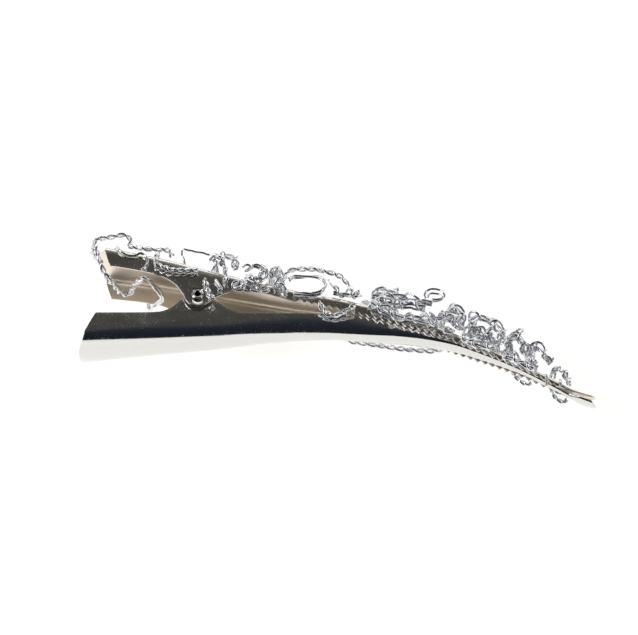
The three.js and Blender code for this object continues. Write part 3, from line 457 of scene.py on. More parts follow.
NICKEL = nickel_plate("nickel_plate", (0.76, 0.73, 0.685), (0.88, 0.81, 0.71))
NEUTRAL_NICKEL = nickel_plate("cool_nickel", (0.76, 0.76, 0.745), (0.88, 0.81, 0.71))
print("finishes", NICKEL.name, NEUTRAL_NICKEL.name)


# %% [markdown]
# Drawn wire keeps faint lines along its length from the die, so both wire finishes stretch their
# noise along the wire. The piece's own UV map gives that direction: u runs along the wire in
# millimetres and v once round it.


# %% Wire finishes
def drawn_wire(name, light, dark, roughness, spread):
    """Drawn metal wire: lines along it in the bump, slow changes of shade and roughness."""
    finish, nodes, links, shader = new_material(name)
    place = nodes.new("ShaderNodeTexCoord")
    along = place.outputs["UV"]
    shader.inputs["Metallic"].default_value = 1.0
    lines = noise(nodes, links, along, 1.0, (0.35, 26, 1), detail=2.0)
    tone = noise(nodes, links, place.outputs["Object"], 420)
    links.new(remap(nodes, links, tone, 0.3, 0.75, roughness, roughness + spread),
              shader.inputs["Roughness"])
    share = remap(nodes, links, tone, 0.35, 0.7, 0, 1)
    links.new(colours_between(nodes, links, share, light, dark), shader.inputs["Base Color"])
    bump = nodes.new("ShaderNodeBump")
    bump.inputs["Strength"].default_value = 0.25
    bump.inputs["Distance"].default_value = 0.00002
    links.new(lines, bump.inputs["Height"])
    links.new(bump.outputs["Normal"], shader.inputs["Normal"])
    return finish


CRAFT_WIRE = drawn_wire("craft_wire", (0.9, 0.91, 0.93), (0.66, 0.68, 0.72), 0.1, 0.12)
SPRING_STEEL = drawn_wire("spring_steel", (0.62, 0.61, 0.59), (0.45, 0.44, 0.43), 0.24, 0.14)
print("finishes", CRAFT_WIRE.name, SPRING_STEEL.name)

# %% [markdown]
# ## The levers
#
# Each lever is one sheet bent to a channel. Its section is the outside line and the same line
# moved in by the sheet's thickness, joined at the walls' edges by a small rounding. Carrying
# that ring along the lever gives a closed body with a true thickness, so the cut edge catches
# light as real sheet does. A Solidify modifier would do it too, but wouldn't keep the flat cut
# across the thumb pads.


# %% Channel from sections
def pad_end(x, handle, across, down, roundness, slant):
    """Where a station's point lies along the lever: at x, drawn back near the thumb pad's end by
    the roundness times across squared, plus the slant times how far down the wall it is. Near
    the tip it is drawn back by the tip's roundness times across squared."""
    pad = ease((-x - 0.5 * handle) / (0.5 * handle))
    tip = ease((x / JAW_LENGTH - TIP_FROM) / (1 - TIP_FROM))
    return x + pad * (roundness * across**2 + slant * down) - tip * TIP_ROUND * across**2


def stations(*stretches):
    """Station places from (start, end, step) stretches, with the last end included."""
    rows = [np.linspace(a, b, max(2, round((b - a) / step) + 1))[:-1] for a, b, step in stretches]
    return np.concatenate(rows + [[stretches[-1][1]]])


def channel(name, x, line, finish, inward):
    """Closed sheet-metal channel. line(x, inset) gives the section's points from edge to edge at
    each station, moved in by inset. The ring is the outside line, a rounded cut edge, the inside
    line backwards and the other cut edge; each end closes as a strip between the two lines. At
    the first and last station the sheet is thinner by the rounding, which rounds the ends.
    inward is the way from a wall's edge to the wall, +1 or -1 along y."""
    x = np.concatenate([x[:1], x[:1] + CUT_ROUND, x[1:-1], x[-1:] - CUT_ROUND, x[-1:]])
    shave = np.zeros_like(x)
    shave[[0, -1]] = CUT_ROUND
    outer, inner = line(x, shave), line(x, SHEET - shave)
    width = outer.shape[1]
    lift = np.array([0, CUT_ROUND, 0])
    rims = []
    for end in (-1, 0):
        near, far = (outer, inner) if end == -1 else (inner, outer)
        a, b = near[:, end].copy(), far[:, end].copy()
        inwards = (b - a) * (CUT_ROUND / SHEET)
        rims.append(np.stack([a + inwards, b - inwards], axis=1))
        near[:, end] += inward * lift
        far[:, end] += inward * lift
    ring = np.concatenate([outer, rims[0], inner[:, ::-1], rims[1]], axis=1)
    around = ring.shape[1]
    faces = [ring_faces(len(x), around)]
    j = np.arange(width - 1)
    inside = 2 * width + 1 - j
    cap = np.stack([j, j + 1, inside - 1, inside], axis=1)
    rim_a = np.array([[width - 1, width, width + 1, width + 2]])
    rim_b = np.array([[around - 1, 0, 2 * width + 1, around - 2]])
    start = np.concatenate([cap, rim_a, rim_b])
    faces += [start[:, ::-1], start + (len(x) - 1) * around]
    piece = mesh_piece(name, ring.reshape(-1, 3), np.concatenate(faces), finish)
    mark = np.zeros((len(x), around), np.float32)
    mark[:, width - 1:width + 3] = 1
    mark[:, [around - 2, around - 1, 0, 2 * width + 1]] = 1
    mark[[0, -1]] = 1
    inner_points = np.zeros_like(mark)
    inner_points[:, width + 2:2 * width + 2] = 1
    for label, values in (("cut_edge", mark), ("inner_face", inner_points)):
        layer = piece.data.attributes.new(label, "FLOAT", "POINT")
        layer.data.foreach_set("value", values.ravel())
    return piece


print("station spacing example:", stations((0, 1, 0.5)))

# %% [markdown]
# The upper lever's section is a flat roof with a bend at each shoulder and two flat walls. The
# walls' lower edge follows the ears and then the bite line, and the teeth are a zigzag in that
# edge. Stations fall on every tooth's tip and valley, which keeps them sharp.

# %% Upper lever
UPPER_ROUND = 1.6
UPPER_SLANT = 1.25
BEND_STEPS = 6
ROOF_ACROSS = np.linspace(0.8, -0.8, 7)
WALL_ROWS = 4


def shoulder_at(x):
    """Outer bend radius of the shoulders: tighter where the walls are low."""
    return np.minimum(SHOULDER, 1.2 * SHEET + 0.3 * (roof(x) - upper_edge(x)))


def upper_line(x, inset):
    """Across the upper lever, edge to edge. The wall is straight up to the shoulder, the shoulder
    is a quarter circle about its bend centre, and the roof is straight between them."""
    x = np.asarray(x)[:, None]
    inset = np.broadcast_to(np.asarray(inset, float).reshape(-1, 1), x.shape)
    bend = shoulder_at(x)
    radius = np.maximum(bend - inset, 0.1)
    down = np.linspace(1, 0, WALL_ROWS, endpoint=False)[None]
    px = pad_end(x, UPPER_HANDLE, 1, down, UPPER_ROUND, UPPER_SLANT)
    edge = np.minimum(upper_edge(px) + tooth_notch(px), roof(px) - bend - 0.02)
    wall_y = roof(px) - bend - (roof(px) - bend - edge) * down
    wall = np.stack([px, wall_y, half_upper(px) - inset + 0 * px], axis=2)
    angle = np.linspace(0, math.pi / 2, BEND_STEPS + 1)[None]
    bx = pad_end(x, UPPER_HANDLE, 1, 0, UPPER_ROUND, UPPER_SLANT)
    bend_y = roof(bx) - inset - radius + radius * np.sin(angle)
    bend_z = half_upper(bx) - inset - radius + radius * np.cos(angle)
    shoulder = np.stack([bx + 0 * angle, bend_y, bend_z], axis=2)
    rx = pad_end(x, UPPER_HANDLE, ROOF_ACROSS[None], 0, UPPER_ROUND, UPPER_SLANT)
    roof_z = ROOF_ACROSS[None] * (half_upper(rx) - inset - radius)
    middle = np.stack([rx, roof(rx) - inset + 0 * rx, roof_z], axis=2)
    half = np.concatenate([wall, shoulder], axis=1)
    return np.concatenate([half, middle, half[:, ::-1] * [1, 1, -1]], axis=1)


tooth_count = round((TEETH_TO - TEETH_FROM) / TOOTH_PITCH)
teeth_end = TEETH_FROM + tooth_count * TOOTH_PITCH
upper_x = stations((-UPPER_HANDLE, -2.6 * EAR, 0.8), (-2.6 * EAR, 2.4 * EAR, 0.22),
                   (2.4 * EAR, TEETH_FROM, 0.8), (TEETH_FROM, teeth_end, TOOTH_PITCH / 6),
                   (teeth_end, JAW_LENGTH, 0.5))
upper_sheet = channel("upper_lever_sheet", upper_x, upper_line, NICKEL, 1)
print("upper lever", len(upper_sheet.data.polygons), "faces")

# %% [markdown]
# The lower lever's section is two flat walls over a half ellipse. That rounding is what splits
# its reflection into a dark side and a light belly.

# %% Lower lever
LOWER_ROUND = 1.5
LOWER_SLANT = 2.6
BELLY_STEPS = 28


def lower_line(x, inset):
    """Across the lower lever, edge to edge: straight walls down to the crease, then half an
    ellipse, its width the walls' and its depth the belly's."""
    x = np.asarray(x)[:, None]
    inset = np.broadcast_to(np.asarray(inset, float).reshape(-1, 1), x.shape)
    down = np.linspace(1, 0, WALL_ROWS, endpoint=False)[None]
    px = pad_end(x, LOWER_HANDLE, 1, down, LOWER_ROUND, LOWER_SLANT)
    wall_y = crease(px) + (lower_edge(px) - crease(px)) * down
    wall = np.stack([px, wall_y, half_lower(px) - inset + 0 * px], axis=2)
    turn = np.linspace(0, math.pi, BELLY_STEPS + 1)[None]
    bx = pad_end(x, LOWER_HANDLE, np.cos(turn), 0, LOWER_ROUND, LOWER_SLANT)
    belly_y = crease(bx) - np.maximum(belly(bx) - inset, 0.1) * np.sin(turn)
    belly_z = np.maximum(half_lower(bx) - inset, 0.12) * np.cos(turn)
    bottom = np.stack([bx, belly_y, belly_z], axis=2)
    return np.concatenate([wall, bottom, wall[:, ::-1] * [1, 1, -1]], axis=1)


lower_x = stations((-LOWER_HANDLE, -3 * INNER_EAR, 0.8), (-3 * INNER_EAR, 3.7 * INNER_EAR, 0.22),
                   (3.7 * INNER_EAR, JAW_LENGTH, 0.7))
lower_sheet = channel("lower_lever_sheet", lower_x, lower_line, NEUTRAL_NICKEL, -1)
print("lower lever", len(lower_sheet.data.polygons), "faces")


# %% [markdown]
# Both levers are pierced for the rivet after pressing. A boolean cuts one round hole through
# both ears, and the result is kept as the mesh, so nothing is left live.


# %% Pierce the ears
def pierce(piece, radius, length, sides=48):
    """Cuts a round hole on the hinge axis: a prism of that many sides is taken away."""
    turn = 2 * math.pi * np.arange(sides) / sides
    circle = np.stack([radius * np.cos(turn), radius * np.sin(turn), 0 * turn], axis=1)
    points = np.concatenate([circle - [0, 0, length], circle + [0, 0, length]])
    faces = list(ring_faces(2, sides)) + [np.arange(sides)[::-1], np.arange(sides) + sides]
    drill = mesh_piece("drill", points, faces, NICKEL)
    cut = piece.modifiers.new("hole", "BOOLEAN")
    cut.operation = "DIFFERENCE"
    cut.solver = "MANIFOLD"
    cut.object = drill
    ready = piece.evaluated_get(bpy.context.evaluated_depsgraph_get())
    pierced = bpy.data.meshes.new_from_object(ready)
    piece.modifiers.clear()
    piece.data = pierced
    bpy.data.objects.remove(drill)
    return piece


for sheet in (upper_sheet, lower_sheet):
    before = len(sheet.data.polygons)
    pierce(sheet, BARREL + PIVOT_CLEARANCE, PIVOT_WIDTH)
    print(sheet.name, "faces", before, "->", len(sheet.data.polygons))

# %% [markdown]
# ## The rivet
#
# The hinge pin is an eyelet: a tube whose ends are rolled over the ears. It is turned about the
# hinge axis from a profile that goes up the barrel, out under the flange, over the curled rim
# and back down into the bore.


# %% Rivet
def turned(name, profile, sides, finish):
    """Closed profile of (radius, height) points turned once about the hinge axis."""
    turn = 2 * math.pi * np.arange(sides) / sides
    radius, height = np.array(profile).T
    points = np.stack([np.cos(turn)[:, None] * radius, np.sin(turn)[:, None] * radius,
                       height + 0 * turn[:, None]], axis=2)
    around = len(profile)
    faces = ring_faces(sides, around)
    k = np.arange(around)
    last = (sides - 1) * around
    closing = np.stack([last + k, last + (k + 1) % around, (k + 1) % around, k], axis=1)
    return mesh_piece(name, points.reshape(-1, 3), np.concatenate([faces, closing]), finish, 50)


FLANGE_FLOAT = 0.15  # how much of the end float is left between an ear and the flange
ear_face = float(half_upper(0.0)) + FLANGE_FLOAT * END_FLOAT
curl = 0.5 * (FLANGE - BORE) * 0.72
crown = BORE + curl
swell = np.linspace(0, math.pi, 13)
curled = [(crown - curl * math.cos(math.pi - t), ear_face + 0.45 * FLANGE_HEIGHT
           + 0.55 * FLANGE_HEIGHT * math.sin(t)) for t in swell]
skirt = [(BARREL, ear_face), (FLANGE - 0.08, ear_face), (FLANGE, ear_face + 0.07),
         (FLANGE - 0.1, ear_face + 0.17)]
near_end = skirt + curled
rivet_profile = near_end + [(r, -z) for r, z in reversed(near_end)]
rivet = turned("eyelet_rivet", rivet_profile, 64, NICKEL)
print("rivet from ear to ear", round(2 * (ear_face + FLANGE_HEIGHT), 2), "mm")

# %% [markdown]
# ## Wire along a route
#
# A wire is a round section carried along a route. The route runs smoothly through given
# points; the section is set square to it by a frame that is carried from point to point with
# no needless turning, which keeps twisted pairs even through bends.


# %% Routes and frames
END_RING = 0.55  # the size of a strand's closing ring, as a share of its radius


def route_through(points, step):
    """Centripetal Catmull-Rom line through the points, walked at even steps: each stretch blends
    straight interpolations whose weights grow with the square root of the point spacing."""
    p = np.asarray(points, float)
    p = np.concatenate([2 * p[:1] - p[1:2], p, 2 * p[-1:] - p[-2:-1]])
    gap = np.sqrt(np.linalg.norm(np.diff(p, axis=0), axis=1))
    knots = np.concatenate([[0], np.cumsum(gap)])
    stretches = []
    for i in range(1, len(p) - 2):
        t = np.linspace(knots[i], knots[i + 1], 40, endpoint=False)[:, None]
        k = knots[i - 1:i + 3]

        def mix(a, b, t0, t1):
            return (a * (t1 - t) + b * (t - t0)) / (t1 - t0)

        a1, a2, a3 = (mix(p[i + j - 1], p[i + j], k[j], k[j + 1]) for j in range(3))
        b1, b2 = mix(a1, a2, k[0], k[2]), mix(a2, a3, k[1], k[3])
        stretches.append(mix(b1, b2, k[1], k[2]))
    fine = np.concatenate(stretches + [p[-2:-1]])
    length = np.concatenate([[0], np.cumsum(np.linalg.norm(np.diff(fine, axis=0), axis=1))])
    even = np.linspace(0, length[-1], max(3, round(length[-1] / step) + 1))
    return np.stack([np.interp(even, length, fine[:, c]) for c in range(3)], axis=1), even


def carried_frame(route):
    """Tangents and two side directions. The first side is carried along the route: at each
    station what points along the new tangent is taken from it and it is made unit length."""
    tangent = np.gradient(route, axis=0)
    tangent /= np.linalg.norm(tangent, axis=1)[:, None]
    side = np.zeros_like(route)
    start = np.cross(tangent[0], [0.31, 0.2, 0.93])
    side[0] = start / np.linalg.norm(start)
    for i in range(1, len(route)):
        turned_side = side[i - 1] - tangent[i] * (side[i - 1] @ tangent[i])
        side[i] = turned_side / np.linalg.norm(turned_side)
    return tangent, side, np.cross(tangent, side)


def strand(route, radius, sides):
    """Points and faces of one round strand. Each ring is a circle square to the route; the
    ends close with a smaller ring and a fan's face, which rounds the cut a little."""
    _, side, other = carried_frame(route)
    turn = 2 * math.pi * np.arange(sides) / sides
    circle = (np.cos(turn)[None, :, None] * side[:, None]
              + np.sin(turn)[None, :, None] * other[:, None])
    reach = np.full(len(route), radius)
    reach[[0, -1]] = END_RING * radius
    points = route[:, None] + reach[:, None, None] * circle
    faces = [list(f) for f in ring_faces(len(route), sides)]
    last = (len(route) - 1) * sides
    faces += [list(range(sides))[::-1], list(range(last, last + sides))]
    return points.reshape(-1, 3), faces


print("a straight route's points:", len(route_through([(0, 0, 0), (1, 0, 0)], 0.25)[0]))


# %% Wires as meshes
def wire_piece(name, strands, finish, sides):
    """One object from several strands, with u along each strand in millimetres and v round it."""
    points, faces, uv = [], [], []
    base = 0
    for route, radius in strands:
        length = np.concatenate([[0], np.cumsum(np.linalg.norm(np.diff(route, axis=0), axis=1))])
        more, quads = strand(route, radius, sides)
        points.append(more)
        faces += [[v + base for v in quad] for quad in quads]
        i, j = np.meshgrid(np.arange(len(route) - 1), np.arange(sides), indexing="ij")
        u = np.stack([length[i], length[i], length[i + 1], length[i + 1]], axis=-1)
        v = np.stack([j, j + 1, j + 1, j], axis=-1) / sides
        uv.append(np.stack([u, v], axis=-1).reshape(-1, 2))
        ends = np.stack([np.zeros(2 * sides), np.tile(np.arange(sides), 2) / sides], axis=1)
        uv.append(ends)
        base += len(more)
    piece = mesh_piece(name, np.concatenate(points), faces, finish, 60)
    layer = piece.data.uv_layers.new(name="UVMap")
    layer.data.foreach_set("uv", np.concatenate(uv).astype(np.float32).ravel())
    return piece


def twisted_pair(route, along, radius, spacing, turn_length, phase):
    """The two strands of a pair. Each lies beside the route at half the spacing, at an angle that
    grows once round for each turn length, and the two are half a turn apart."""
    _, side, other = carried_frame(route)
    angle = phase + 2 * math.pi * along / turn_length
    offset = np.cos(angle)[:, None] * side + np.sin(angle)[:, None] * other
    half = 0.5 * spacing[:, None]
    return [(route + half * offset, radius), (route - half * offset, radius)]


def curl(route, along, radius, reach, turn_length, phase):
    """A loose strand that coils round the route. Its reach from the route swells and shrinks
    along the way, and the coil leans to +Z, away from the lever's wall."""
    _, side, other = carried_frame(route)
    angle = phase + 2 * math.pi * along / turn_length + 0.6 * np.sin(0.8 * along + phase)
    swell = reach * (1 + 0.25 * np.sin(0.55 * along + 2 * phase))[:, None]
    offset = np.cos(angle)[:, None] * side + np.sin(angle)[:, None] * other
    return route + swell * (offset + [0, 0.25, 0.45]), radius


print("pair of strands:", len(twisted_pair(*route_through([(0, 0, 0), (1, 0, 0)], 0.25), 0.3,
                                           np.full(5, 0.7), 4.8, 0)))

# %% [markdown]
# ## The torsion spring
#
# The spring sits on the rivet between the ears. One leg presses the upper lever's roof and the
# other the lower lever's belly, so squeezing the thumb pads winds it.

# %% Torsion spring
coil_radius = BARREL + SPRING_CLEARANCE + SPRING_WIRE / 2
coil_pitch = SPRING_WIRE + 0.2
coil_start = -0.5 * SPRING_TURNS * coil_pitch
coil_turn = np.linspace(0, SPRING_TURNS, 16 * SPRING_TURNS + 1)
coil_angle = math.pi + 2 * math.pi * coil_turn
coil = np.stack([coil_radius * np.cos(coil_angle), coil_radius * np.sin(coil_angle),
                 coil_start + coil_pitch * coil_turn], axis=1)
leg_clear = SHEET + WIRE_GAP + SPRING_WIRE / 2
leg_top = [-SPRING_REACH, float(roof(-SPRING_REACH)) - leg_clear, coil_start]
leg_bottom = [-SPRING_REACH, float(crease(-SPRING_REACH) - belly(-SPRING_REACH)) + leg_clear,
              -coil_start]
spring_route, spring_along = route_through(np.concatenate([[leg_top], coil, [leg_bottom]]), 0.12)
spring = wire_piece("torsion_spring_wire", [(spring_route, SPRING_WIRE / 2)], SPRING_STEEL, 14)
print("spring wire", round(float(spring_along[-1]), 1), "mm long")

# %% [markdown]
# ## The craft wire
#
# All the wire is on the upper lever and was bent and twisted by hand, so its routes can't be a
# formula: each is a short list of chosen points. A point is told from the lever itself. Along
# the lever it is a percentage of the jaw, or of the handle when negative. *Over* stands it above
# the roof, *beside* holds it off a wall, *corner* off a shoulder, and *ring* bends it in a loop.

# %% Places on the upper lever
def along_lever(p):
    """Distance from the hinge for a percentage of the jaw, or of the handle when negative."""
    return p * (UPPER_HANDLE if p < 0 else JAW_LENGTH) / 100


def over(p, across, lift):
    """Above the roof by the lift, at a share of the half width."""
    x = along_lever(p)
    return lambda stand: [x, roof(x) + lift, across * half_upper(x)]


def beside(p, down, side=1):
    """Off a wall by the stand, so far down from the roof line."""
    x = along_lever(p)
    return lambda stand: [x, roof(x) - down, side * (half_upper(x) + stand)]


def corner(p, side=1):
    """Off a shoulder's bend by the stand, on its diagonal."""
    x = along_lever(p)
    return lambda stand: [x, roof(x) + out_of_bend(x, stand),
                          side * (half_upper(x) + out_of_bend(x, stand))]


def out_of_bend(x, stand):
    """How far the diagonal point lies outside the wall and the roof: the bend's radius and the
    stand, times the cosine of 45 degrees, less the radius."""
    return (shoulder_at(x) + stand) * math.sqrt(0.5) - shoulder_at(x)


def ring(p, lift, wide, high, outward, start, turn):
    """An oval loop beside the near wall: thirteen points round it from the start angle."""
    x = along_lever(p)
    angles = np.radians(start + turn * np.arange(13) / 12)
    return [(lambda stand, a=a: [x + wide * math.cos(a), roof(x) + lift + high * math.sin(a),
                                 half_upper(x) + outward]) for a in angles]


print("hinge end of the roof, just above it:", over(-1, 0, 1)(0))

# %% [markdown]
# The wire is laid four ways. Tight pairs are twisted hard, open pairs show an eye between
# crossings, laid pairs run side by side, and doubled loops are two turns of the same bend.

# %% Ways of laying the wire
PAIR_STAND = STRAND + WIRE_GAP
LONE_STAND = STRAND / 2 + WIRE_GAP
LONE = {"turn": 1, "apart": 0, "stand": LONE_STAND}
TIGHT = {"turn": 3.8, "apart": 0.64, "stand": PAIR_STAND}
OPEN = {"turn": 4.9, "apart": 0.88, "stand": PAIR_STAND}
LAID = {"turn": 22, "apart": 0.7, "stand": PAIR_STAND}
DOUBLE = {"turn": 60, "apart": 1.05, "stand": PAIR_STAND}
print("half-turn of an open pair:", OPEN["turn"] / 2, "mm")

